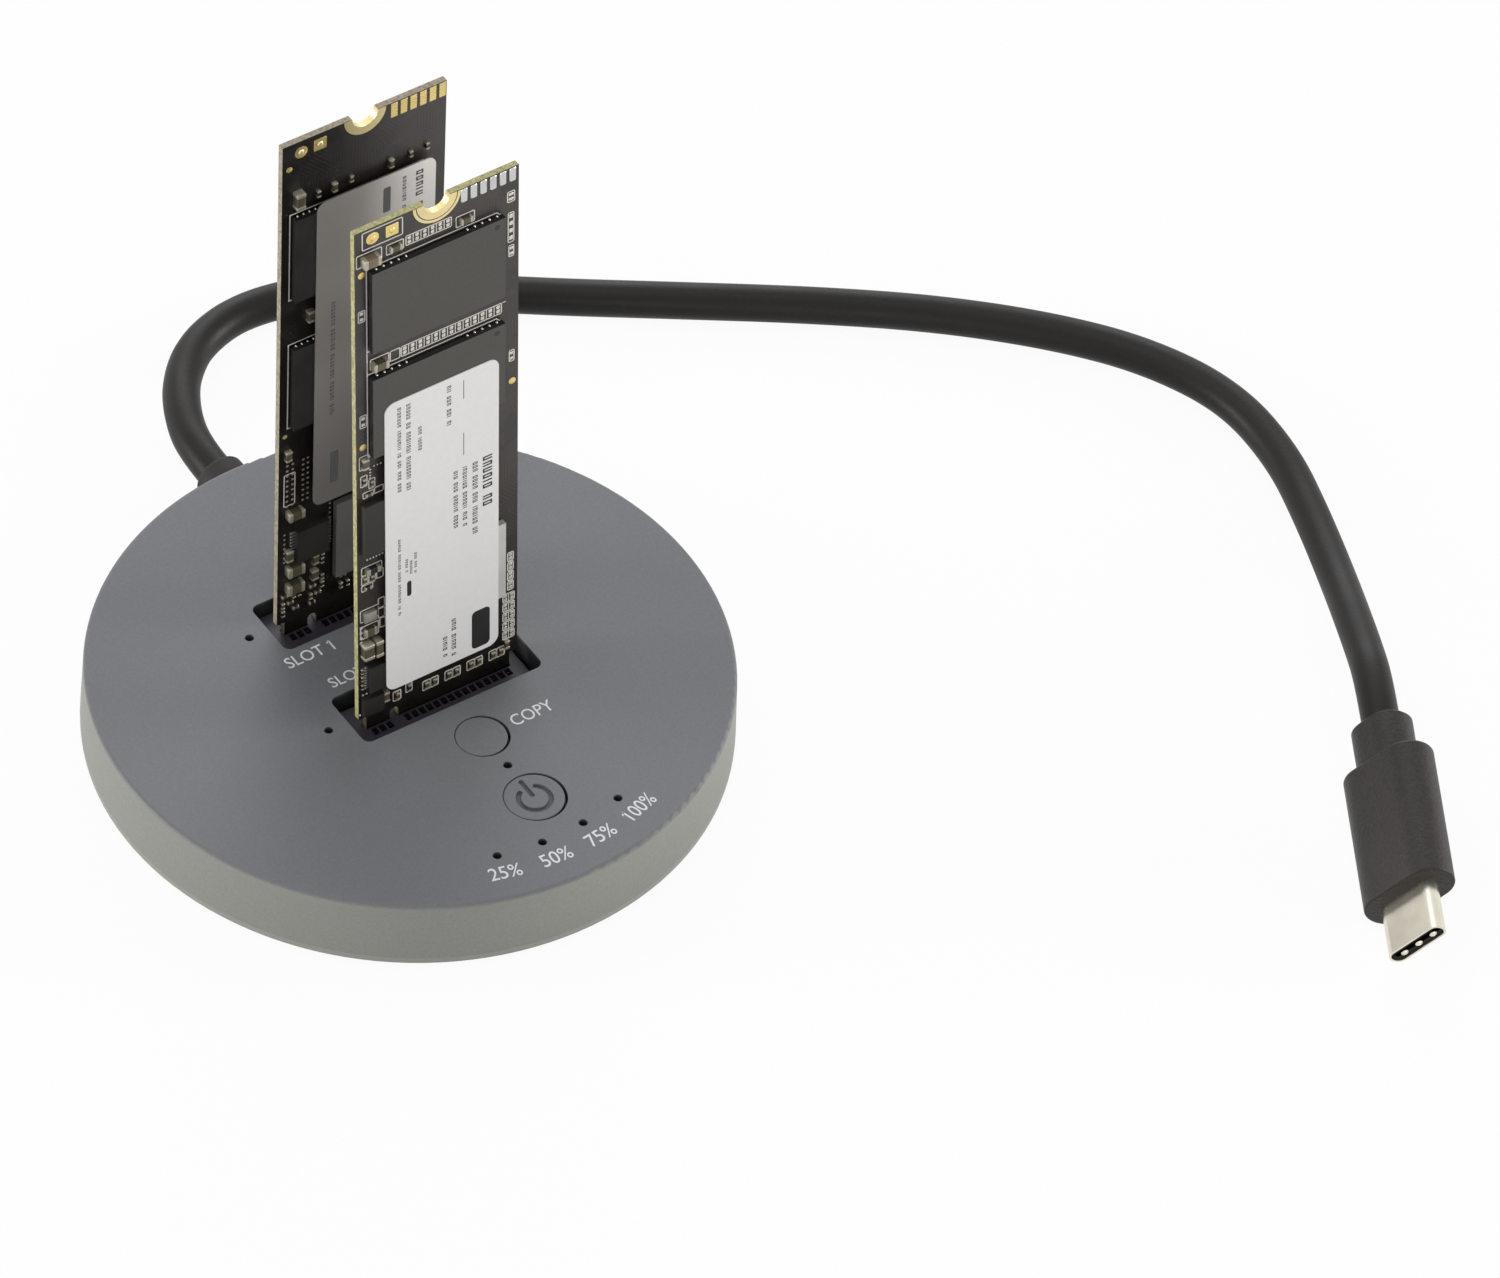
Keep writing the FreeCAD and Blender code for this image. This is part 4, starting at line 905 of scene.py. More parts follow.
# Chips and labels that the small parts keep clear of.
TARGET_TAKEN = [
    (1.75, 6.2, 17.9, 12.1), (1.75, 22.4, 17.9, 12.1), (0.5, 41.6, 7.4, 8.0), (3.2, 27.0, 15.5, 45.4),
    (1.1, 67.6, 2.5, 4.0), (0.3, 72.6, 2.8, 2.6), (8.1, 53.8, 11.7, 11.7), (8.4, 73.8, 11.6, 2.2),
]
SOURCE_TAKEN = [
    (1.35, 11.1, 18.0, 12.8), (1.35, 31.4, 18.0, 12.8), (4.1, 9.8, 16.0, 48.0), (2.2, 61.2, 4.4, 5.0),
    (7.5, 59.2, 12.0, 12.0),
]


def two_ended(rows, lip=0.05, share=0.25):
    """Body and end caps of two-ended parts: the ends stand a little proud of the body."""
    left, down, width, height, thickness = box_array(rows).T
    wide = width >= height
    end = share * np.maximum(width, height)
    bodies = np.column_stack([left + lip, down + lip, width - 2 * lip, height - 2 * lip, thickness - lip])
    sizes = [np.where(wide, end, width), np.where(wide, height, end), thickness]
    first = np.column_stack([left, down, *sizes])
    second = np.column_stack([np.where(wide, left + width - end, left),
                              np.where(wide, down, down + height - end), *sizes])
    return bodies, np.concatenate([first, second])


class DUPLICATOR_OT_capacitors(bpy.types.Operator):
    """Make the drives' capacitors with rounded tin ends"""

    bl_idname = "duplicator.capacitors"
    bl_label = "Capacitors"

    def execute(self, context):
        for drive, rows in (("target", TARGET_CAPACITORS), ("source", SOURCE_CAPACITORS)):
            card = CardPlace(drive)
            bodies, ends = two_ended(rows)
            pale = bodies[:, 4] > 1.0
            body = card.piece("capacitor_bodies", rounded_blocks(bodies[~pale], 0.1), "dark_ceramic")
            if pale.any():
                card.piece("pale_bodies", rounded_blocks(bodies[pale], 0.1), "capacitor_ceramic")
            card.piece("capacitor_ends", rounded_blocks(ends, 0.14), "plated_ends")
            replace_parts(body, drive + "_drive_capacitors")
        return {"FINISHED"}


def clear_of(rows, kept, margin):
    """The rows that overlap none of the kept rectangles."""
    rows, kept = box_array(rows), box_array(kept)
    left, down, width, height = rows[:, :4].T[:, :, None]
    k_left, k_down, k_width, k_height = kept[:, :4].T[:, None, :]
    hit = ((left < k_left + k_width + margin) & (left + width > k_left - margin)
           & (down < k_down + k_height + margin) & (down + height > k_down - margin))
    return rows[~hit.any(axis=1)]


def scattered(left, down, right, bottom, across, step, seed, share):
    """Small two-ended parts in loose rows and columns over a region, some turned."""
    longer, narrow, tall, thickness = 0.9, 0.48, 0.95, 0.32
    rng = np.random.default_rng(seed)
    u, v = np.meshgrid(np.arange(left, right - 0.5, across), np.arange(down, bottom - 0.9, step))
    keep = rng.random(u.size) < share
    u, v = u.ravel()[keep], v.ravel()[keep]
    level = rng.random(len(u)) < 0.3
    u = u + rng.uniform(-0.05, 0.05, len(u))
    v = v + rng.uniform(-0.08, 0.08, len(v))
    sizes = [np.where(level, longer, narrow), np.where(level, narrow, tall)]
    return with_last(np.column_stack([u, v, *sizes]), thickness)


def separate(rows, gap):
    """Rows in order, leaving out each that meets one kept before it."""
    kept = []
    for row in rows:
        if not kept or len(clear_of(row, kept, gap)):
            kept.append(row)
    return np.array(kept)


def small_places(drive):
    """A drive's small two-ended parts: those with places of their own, and those scattered over regions."""
    if drive == "target":
        fixed, taken, capacitors, margin, gap = TARGET_SMALL, TARGET_TAKEN, TARGET_CAPACITORS, 0.05, 0.03
        regions = [(4.4, 68.2, 8.2, 73.2, 0.8, 1.35, 6, 0.7)]
    else:
        fixed, taken, capacitors, margin, gap = SOURCE_SMALL, SOURCE_TAKEN, SOURCE_CAPACITORS, 0.15, 0.08
        regions = [(0.5, 71.4, 3.9, 75.4, 0.75, 1.2, 16, 0.8), (4.3, 66.4, 7.0, 75.4, 0.78, 1.3, 12, 0.6),
                   (20.3, 60.0, 21.6, 74.0, 0.8, 1.4, 13, 0.5), (7.6, 71.8, 20.0, 75.2, 0.95, 1.5, 14, 0.55)]
    rows = np.concatenate([fixed] + [scattered(*region) for region in regions])
    return separate(clear_of(rows, taken + [row[:4] for row in capacitors], margin), gap)


def lower_pairs(left, *sizes):
    """Four pairs of places along the front drive's lower edge."""
    return [(left + 3.07 * pair + 1.1 * end, *sizes) for pair in range(4) for end in range(2)]


class DUPLICATOR_OT_small_parts(bpy.types.Operator):
    """Make the drives' small two-ended parts, chip leads and solder bumps"""

    bl_idname = "duplicator.small_parts"
    bl_label = "Small parts"

    def execute(self, context):
        for drive in ("target", "source"):
            card = CardPlace(drive)
            bodies, ends = two_ended(small_places(drive), 0.03, 0.28)
            dark = np.arange(len(bodies)) % 3 == 0
            card.piece("small_bodies_dark", slabs(bodies[dark], edge=0.04), "resistor_glaze")
            card.piece("small_bodies_tan", slabs(bodies[~dark], edge=0.04), "dark_ceramic")
            card.piece("small_ends", slabs(ends), "plated_ends")
        ball_lift = 0.26
        card = CardPlace("target")
        leads = [(0.75, 67.8, 0.45, 0.2, 0.25, 9, 0, 0.4), (3.55, 67.8, 0.45, 0.2, 0.25, 9, 0, 0.4),
                 (0.05, 75.15, 0.2, 0.35, 0.15, 7, 0.4, 0)]
        balls = [(u, v, 0.15, 0.24, 5, 1.0, 0) for v in (6.14, 22.34) for u in (2.65, 14.85)]
        card.piece("chip_leads", slabs(runs(leads)), "solder_tin")
        card.piece("coil_case", rounded_blocks([(0.65, 58.95, 1.7, 1.5, 0.55)], 0.1), "coil_case")
        card.piece("solder_balls", domes(runs(balls)), "solder_tin", ball_lift)
        bodies, ends = two_ended(lower_pairs(9.1, 74.7, 0.56, 1.1, 0.3), 0.03, 0.27)
        lower = card.piece("lower_bodies", slabs(bodies), "dark_ceramic")
        card.piece("lower_ends", slabs(ends), "plated_ends")
        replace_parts(lower, "target_drive_resistors")
        card = CardPlace("source")
        leads = [(6.5, 61.5, 0.75, 0.25, 0.25, 9, 0, 0.5), (1.6, 61.5, 0.65, 0.25, 0.25, 9, 0, 0.5)]
        balls = [(1.9, v, 0.13, 0.22, 4, 0.8, 0) for v in (11.04, 31.34)]
        card.piece("chip_leads", slabs(runs(leads)), "solder_tin")
        card.piece("solder_balls", domes(runs(balls)), "solder_tin", ball_lift)
        return {"FINISHED"}


def half_ring(card, outer):
    """Plated half hole: sections round the board's thickness, carried half way round the hole's middle.

    On the front drive, a bare ring of board shows between two sections."""
    thick, inner, lip, rise, skin = card.thickness, 1.75, 0.03, 0.05, 0.02
    outer_ring, bare_ring = 0.5, 0.13
    angle = np.linspace(0.02, math.pi - 0.02, 49)
    rim = outer - outer_ring if card.drive == "target" else outer
    sections = [[(inner - lip, rise), (rim, rise), (rim, -skin), (inner, -skin), (inner, skin - thick),
                 (outer, skin - thick), (outer, -skin - thick), (inner - lip, -skin - thick)]]
    if card.drive == "target":
        start = rim + bare_ring
        sections.append([(start, rise), (outer, rise), (outer, -skin), (start, -skin)])
    surfaces = []
    for section in sections:
        reach, out = np.array(section).T
        u = HALF_WIDTH + reach * np.cos(angle)[:, None]
        grid = np.stack([u, reach * np.sin(angle)[:, None], out + 0 * u], axis=-1)
        surfaces.append((grid.reshape(-1, 3), tube_faces(1, *u.shape)))
    return joined(surfaces)


def edge_fingers():
    """The edge contacts, half a millimetre apart, but none in the two key notches."""
    pitch, tongue, notch, down, width, height = 0.5, 9.6, 0.85, 78.5, 0.35, 1.35
    centre = HALF_WIDTH + (np.arange(38) - 18.5) * pitch
    keep = np.abs(centre - HALF_WIDTH) < tongue
    for key in (HALF_WIDTH - 6.125, HALF_WIDTH + 5.625):
        keep &= np.abs(centre - key) > notch
    return np.array([(middle - width / 2, down, width, height) for middle in centre[keep]])


class DUPLICATOR_OT_gold(bpy.types.Operator):
    """Plate the drives' edge contacts, half holes and pads"""

    bl_idname = "duplicator.gold"
    bl_label = "Gold"

    def execute(self, context):
        rows = edge_fingers()
        for drive, outer, solder, spots in (
                ("target", 3.2, "contact_gold",
                 [(2.45, 1.65, 0.85), (0.95, 6.6, 0.48), (0.95, 33.0, 0.48), (21.2, 32.8, 0.48)]),
                ("source", 2.8, "solder_gold",
                 [(2.5, 1.7, 0.85), (0.95, 3.7, 0.4), (21.1, 52.0, 0.4), (0.8, 45.6, 0.3)])):
            card = CardPlace(drive)
            card.piece("front_contacts", slabs(rows, PLATING, 0.02, 1, 0.01), "contact_gold")
            card.piece("back_contacts", slabs(rows + np.array([0.25, 0, 0, 0]), PLATING, 0.02, 1, 0.01),
                       "contact_gold", back=True)
            card.piece("half_hole", half_ring(card, outer), "half_hole_gold")
            surfaces = [dots(spots, PLATING, 20), slabs([(4.2, 0.8, 1.7, 1.7)], PLATING, 0.1, 2, 0.02)]
            if drive == "source":
                surfaces.append(slabs(runs([(14.5, 0.15, 0.9, 2.1, 6, 1.3, 0)]), PLATING, 0.05, 2, 0.02))
            card.piece("gold_pads", joined(surfaces), "contact_gold")
            solder_bumps = [(*spots[0][:2], 0.4, 0.2), (5.05, 1.65, 0.4, 0.2)]
            card.piece("pad_centres", domes(solder_bumps, 20, 6), solder)
        pads = runs([(14.2, 0.1, 0.9, 2.0, 0.12, 6, 1.3, 0)])
        CardPlace("target").piece("tin_pads", slabs(pads, corner=0.2, steps=3, edge=0.1), "solder_tin")
        return {"FINISHED"}


# Print on the boards: outlines as left, down, width and height, and runs of bare pads.
TARGET_OUTLINES = [
    (1.0, 0.3, 5.5, 2.7), (0.2, 3.4, 3.5, 2.0), (4.2, 3.6, 2.4, 1.6), (13.5, 3.9, 2.6, 1.7),
    (20.4, 3.5, 1.1, 1.7), (20.5, 6.7, 0.9, 4.6), (20.6, 11.7, 0.8, 1.8), (0.4, 11.9, 1.0, 1.8),
    (0.5, 28.0, 1.0, 2.0), (20.7, 27.9, 0.8, 1.8), (0.35, 34.3, 1.4, 2.2), (0.3, 58.6, 2.6, 2.0),
    *lower_pairs(8.8, 74.45, 1.18, 1.6),
    (1.95, 19.95, 2.6, 1.65), (4.6, 19.95, 1.45, 1.65), (0.5, 37.4, 1.0, 1.8), (1.6, 38.3, 0.95, 1.6),
    (0.8, 40.1, 1.6, 1.0), (2.35, 39.95, 1.35, 1.05), (0.5, 51.85, 2.9, 1.4), (0.5, 53.2, 1.0, 1.5),
    (1.5, 53.2, 1.05, 1.5), (2.55, 53.1, 1.05, 1.5), (0.5, 54.7, 1.65, 1.05), (2.75, 57.8, 1.0, 1.65),
    (2.75, 59.45, 1.0, 1.6), (2.95, 61.05, 0.9, 1.6), (0.3, 61.2, 2.6, 2.1), (6.45, 73.5, 1.0, 1.6),
    (3.8, 66.7, 0.85, 1.45), (4.65, 66.7, 0.85, 1.45), (4.7, 74.0, 1.2, 1.6),
]
TARGET_PADS = [
    (1.25, 50.75, 0.22, 0.3, 6, 0.42, 0), (1.72, 36.8, 0.3, 0.2, 4, 0, 0.45),
    (2.3, 36.45, 0.2, 0.25, 3, 0.45, 0), (0.25, 61.2, 0.4, 0.4, 4, 0, 0.8),
    (0.5, 72.2, 0.25, 0.25, 6, 0.5, 0), (20.7, 7.0, 0.5, 0.6, 4, 0, 1.1),
    (20.75, 12.0, 0.5, 0.4, 2, 0, 0.8), (20.6, 3.8, 0.7, 0.4, 2, 0, 0.7),
    (0.65, 12.15, 0.5, 0.45, 2, 0, 0.85), (0.75, 28.3, 0.5, 0.45, 2, 0, 0.95),
    (20.85, 28.2, 0.45, 0.4, 2, 0, 0.8),
]
SOURCE_PADS = [(side, 50.3, 0.34, 0.3, 9, 0, 0.82) for side in (1.0, 1.75, 3.2, 3.85)]
SOURCE_PADS += [(0.75, 61.4, 0.3, 0.3, 7, 0, 0.75), (7.0, 58.6, 0.28, 0.3, 8, 0, 0.75)]

# Height and sides of the vias, and the lowest place that holds any.
VIA_HEIGHT, VIA_SIDES, VIA_FOOT = 0.006, 8, 75.3

# Framed rows of two-pad places: left, right, down, bottom and count.
TARGET_CELLS = [(6.8, 13.0, 3.45, 5.0, 6), (6.1, 19.75, 19.95, 21.6, 13)]
TARGET_CELLS += [(19.95, 21.65, 66.3 + 1.5 * row, 67.7 + 1.5 * row, 2) for row in range(5)]
TARGET_CELLS += [(20.6, 21.5, 59.8 + 1.55 * row, 61.3 + 1.55 * row, 1) for row in range(4)]


def cell_rows(left, right, down, bottom, count):
    """A row of upright two-pad places: the frame round them all, the bars between them and the pads."""
    pitch = (right - left) / count
    tall = bottom - down
    side = min(pitch * 0.52, tall * 0.3)
    starts = left + pitch * np.arange(count)
    bars = [(start - 0.07, down + 0.16, 0.14, tall - 0.32) for start in starts[1:]]
    pads = [(start + (pitch - side) / 2, place, side, side)
            for place in (down + tall / 2 - side - 0.07, down + tall / 2 + 0.07) for start in starts]
    return (left, down, right - left, tall), bars, pads


def chip_outlines(left, right, cut, tall, tops, line, ink):
    """Printed lines round chips, each with its upper right corner cut off."""
    return [stroke_surface([(left, top), (right - cut, top), (right, top + cut), (right, top + tall),
                            (left, top + tall)], line, ink) for top in tops]


class DUPLICATOR_OT_board_print(bpy.types.Operator):
    """Print the white outlines and lay the bare pads on the drives' boards"""

    bl_idname = "duplicator.board_print"
    bl_label = "Board print"

    def execute(self, context):
        cards = context.scene.duplicator_cards
        line, ink = cards.mark_width / MM, cards.ink_height / MM
        rng = np.random.default_rng(21)

        card = CardPlace("target")
        outlines, pads = list(TARGET_OUTLINES), []
        bars = []
        for cells in TARGET_CELLS:
            outline, between, their = cell_rows(*cells)
            outlines.append(outline)
            bars += between
            pads += their
        bars += [(1.5, 18.7, 0.14, 3.3), (19.78, 19.96, 0.5, 0.14)]
        surfaces = [frames(outlines, line, ink), slabs(bars, ink, 0.02, 1, ink / 2)]
        surfaces += chip_outlines(1.57, 19.9, 0.9, 12.7, (5.9, 22.1), line, ink)
        card.piece("outlines", joined(surfaces), "white_ink")
        card.piece("bare_pads", slabs(pads + runs(TARGET_PADS), 0.04, 0.08, 2, 0.03), "pad_tin")
        card.piece("pin_marks", dots([(18.5, 7.2, 0.38), (18.5, 23.4, 0.38)], 0.004, 20), "black_ink",
                   CHIP_FACE)
        self.vias(card, rng, 0.12)
        self.back(card, line, ink, 31)

        card = CardPlace("source")
        surfaces = [frames([(0.7, 51.8, 1.6, 5.2)], line * 0.8, ink)]
        surfaces += chip_outlines(1.1, 19.7, 0.7, 13.3, (10.8, 31.1), line, ink)
        card.piece("bare_pads", slabs(runs(SOURCE_PADS), 0.06, 0.08, 2, 0.03), "plated_ends")
        card.piece("outlines", joined(surfaces), "white_ink")
        self.vias(card, rng, 0.11)
        self.back(card, line, ink, 33)
        return {"FINISHED"}

    def vias(self, card, rng, radius, count=110):
        """Masked vias strewn over the front face."""
        rows = np.column_stack([rng.uniform(0.5, 21.5, count), rng.uniform(3.4, VIA_FOOT, count)])
        card.piece("vias", dots(with_last(rows, radius), VIA_HEIGHT, VIA_SIDES), "masked_via")

    def back(self, card, line, ink, seed, count=26):
        """Vias in short rows, outlines and pads on the back face."""
        rng = np.random.default_rng(seed)
        spots = np.column_stack([rng.uniform(1.0, 20.0, count), rng.uniform(4.0, 73.0, count)])
        step = np.arange(6)[None, :] * 0.6
        level = rng.random(count)[:, None] < 0.5
        u = np.minimum((spots[:, :1] + np.where(level, step, 0)).ravel(), 21.4)
        v = np.minimum((spots[:, 1:] + np.where(level, 0, step)).ravel(), VIA_FOOT)
        vias = with_last(np.column_stack([u, v]), 0.14)
        card.piece("back_vias", dots(vias, VIA_HEIGHT, VIA_SIDES), "masked_via", back=True)
        outlines = [(3.0, 8.0, 15.5, 12.0), (3.0, 24.0, 15.5, 12.0), (6.0, 44.0, 9.0, 9.0),
                    *runs([(2.0, 62.0, 4.0, 2.0, 3, 6.0, 0)])]
        card.piece("back_outlines", frames(outlines, line, ink), "white_ink", back=True)
        pads = [(3.2 + 1.5 * place, down, 0.7, 0.7) for place in range(11) for down in (38.0, 39.6)]
        pads += [(2.3 + 6 * place + 2.4 * end, 62.4, 1.0, 1.2) for place in range(3) for end in range(2)]
        card.piece("back_pads", slabs(pads, 0.03, 0.1, 2, 0.02), "contact_gold", back=True)


def row_marks(columns, seed):
    """Strokes that stand for lines of small print, each line as u, width, start, end and letter length.

    A mark is one stem, or two stems of the same height joined at the top, at the foot or at both."""
    rng = np.random.default_rng(seed)
    strokes = []
    for u, width, place, end, pitch in columns:
        left_in_word = rng.integers(3, 9)
        stroke, wide = pitch * 0.26, pitch * 0.7
        while place < end:
            kind = rng.integers(0, 4)
            strokes.append((u, place, width, stroke))
            if kind:
                strokes.append((u, place + wide - stroke, width, stroke))
            if kind in (1, 3):
                strokes.append((u + width - stroke, place, stroke, wide))
            if kind in (2, 3):
                strokes.append((u, place, stroke, wide))
            place += pitch if kind else pitch * 0.6
            left_in_word -= 1
            if left_in_word == 0:
                place += pitch * 0.9
                left_in_word = rng.integers(2, 9)
    return slabs(strokes, 0.01, 0.03, 1, 0.01)


class DUPLICATOR_OT_label_print(bpy.types.Operator):
    """Print plain blocks and rows of marks on the drives' labels"""

    bl_idname = "duplicator.label_print"
    bl_label = "Label print"

    def execute(self, context):
        face = CHIP_FACE + FILM
        card = CardPlace("target")
        card.piece("label_marks", row_marks([
            (4.9, 0.5, 28.1, 41.1, 0.48), (6.1, 0.6, 28.1, 41.5, 0.5), (7.7, 0.5, 32.4, 35.9, 0.45),
            (11.6, 0.6, 28.1, 34.6, 0.52), (16.5, 1.3, 41.6, 50.5, 0.95), (15.1, 0.7, 41.8, 53.0, 0.55),
            (13.75, 0.6, 41.8, 51.1, 0.52), (12.5, 0.6, 41.9, 50.6, 0.52), (4.9, 0.36, 48.8, 60.9, 0.4),
            (5.9, 0.34, 52.4, 54.4, 0.36), (6.5, 0.34, 52.9, 54.9, 0.36), (7.1, 0.34, 51.9, 55.3, 0.36),
            (12.2, 0.62, 65.3, 70.9, 0.55), (11.0, 0.6, 67.6, 70.9, 0.55),
        ], 5), "black_ink", face)
        blocks = slabs([(15.0, 65.7, 2.5, 6.0), (6.1, 56.0, 0.6, 2.4)], 0.01, 0.6, 5, 0.01)
        rules = slabs([(13.85, 28.2, 0.1, 2.9), (13.85, 36.4, 0.1, 3.5)], 0.01, 0.02, 1, 0.005)
        card.piece("label_blocks", joined([blocks, rules]), "black_ink", face)
        card = CardPlace("source")
        blocks = slabs([(13.0, 11.6, 1.0, 3.8), (6.4, 50.0, 1.1, 5.0)], 0.01, 0.2, 3, 0.01)
        card.piece("label_blocks", blocks, "grey_ink", face)
        card.piece("label_marks", row_marks([
            (17.4, 1.0, 11.0, 19.0, 0.9), (15.6, 0.5, 11.0, 22.0, 0.55), (6.2, 0.55, 26.0, 44.0, 0.55),
        ], 9), "grey_ink", face)
        return {"FINISHED"}


# Cord and plug

CORD_ROUTE = [
    (0, 42.25, 4.8), (0, 47.5, 4.8), (2, 53.5, 4.2), (5.5, 59.5, 3.3), (11, 64.5, 2.6), (19, 66.8, 2.3),
    (29, 64.5, 2.3), (39.5, 58.5, 2.3), (51.5, 50, 2.3), (65, 41.2, 2.3), (79, 32, 2.3), (91.5, 22.8, 2.3),
    (102, 13, 2.3), (109.5, 3.5, 2.3), (114, -7.5, 2.3), (113.5, -19, 2.3), (110, -30, 2.9), (105, -42, 5.0),
    (99.5, -53.5, 8.0), (96.165, -60.071, 9.573), (93.171, -65.776, 8.713),
]

# The plug's mouth in millimetres, and its directions out of the mouth, along its width and through it.
PLUG_MOUTH = np.array([78.8, -93.16, 4.589])
PLUG_ALONG = np.array([-0.46061, -0.87770, -0.13226])
PLUG_ACROSS = np.array([0.51202, -0.38445, 0.76814])
PLUG_THROUGH = np.array([-0.72504, 0.28609, 0.62648])


def spring_tips(places, aside, half_sizes):
    """Rounded tips in the plug's mouth, each an ellipsoid.

    A point is the middle plus the three half sizes times the cosines and sines of two angles."""
    rise = np.linspace(-0.48, 0.48, 11)[:, None] * math.pi
    turn = np.arange(20) / 20 * 2 * math.pi
    sunk = 0.34
    middle = PLUG_MOUTH + np.array(places)[:, None] * PLUG_ACROSS + aside * PLUG_THROUGH - sunk * PLUG_ALONG
    point = (middle[:, None, None, :]
             + half_sizes[0] * (np.cos(rise) * np.cos(turn))[..., None] * PLUG_ACROSS
             + half_sizes[1] * (np.cos(rise) * np.sin(turn))[..., None] * PLUG_THROUGH
             + half_sizes[2] * (np.sin(rise) + 0 * turn)[..., None] * PLUG_ALONG)
    return point.reshape(-1, 3) * MM, tube_faces(*point.shape[:3])


class DUPLICATOR_OT_cord(bpy.types.Operator):
    """Lay the cord along its route and finish its two ends"""

    bl_idname = "duplicator.cord"
    bl_label = "Cord and plug"

    def execute(self, context):
        settings = context.scene.duplicator_cord
        curve = bpy.data.curves.new("cord", "CURVE")
        curve.dimensions = "3D"
        spline = curve.splines.new("NURBS")
        spline.points.add(len(CORD_ROUTE) - 1)
        spline.points.foreach_set("co", with_last(np.array(CORD_ROUTE) * MM, 1.0).ravel())
        spline.order_u = 3
        spline.use_endpoint_u = True
        curve.bevel_depth = settings.diameter / 2
        curve.bevel_resolution = 8
        curve.resolution_u = 12
        curve.use_fill_caps = True
        curve.materials.append(look("cord_jacket"))
        cord = new_object("cord", curve)
        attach(cord, "base")
        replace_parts(cord, "usb_cable")
        tips = mesh_piece("spring_tips", spring_tips((-2.3, 0.0, 2.3), -0.3, (0.55, 0.4, 0.3)), "plug_nickel",
                          "base", 1.2)
        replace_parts(tips, "plug_contacts")
        dress({"plug_overmould": "plug_body", "plug_shell": "plug_nickel", "plug_insert": "mouth_plastic",
               "cable_gland": "soft_black_rubber", "cable_tail": "cord_jacket", "cable_wires": "wire_jacket",
               "cable_header": "header_nylon"})
        return {"FINISHED"}


# Inner board

class DUPLICATOR_OT_inner_board(bpy.types.Operator):
    """Finish the main board, its chips and the switches inside the case"""

    bl_idname = "duplicator.inner_board"
    bl_label = "Inner board"

    def execute(self, context):
        dress({"main_board": "main_board_mask", "copy_controller": "chip_epoxy", "bridge_chips": "chip_epoxy",
               "program_memory": "chip_epoxy", "power_inductors": "inductor_ferrite",
               "board_capacitors": "capacitor_ceramic", "crystal": "solder_tin"})
        for switch in ("copy_switch", "power_switch"):
            dress({switch + "_body": "chip_epoxy", switch + "_plunger": "header_nylon"})
        return {"FINISHED"}


# Stage

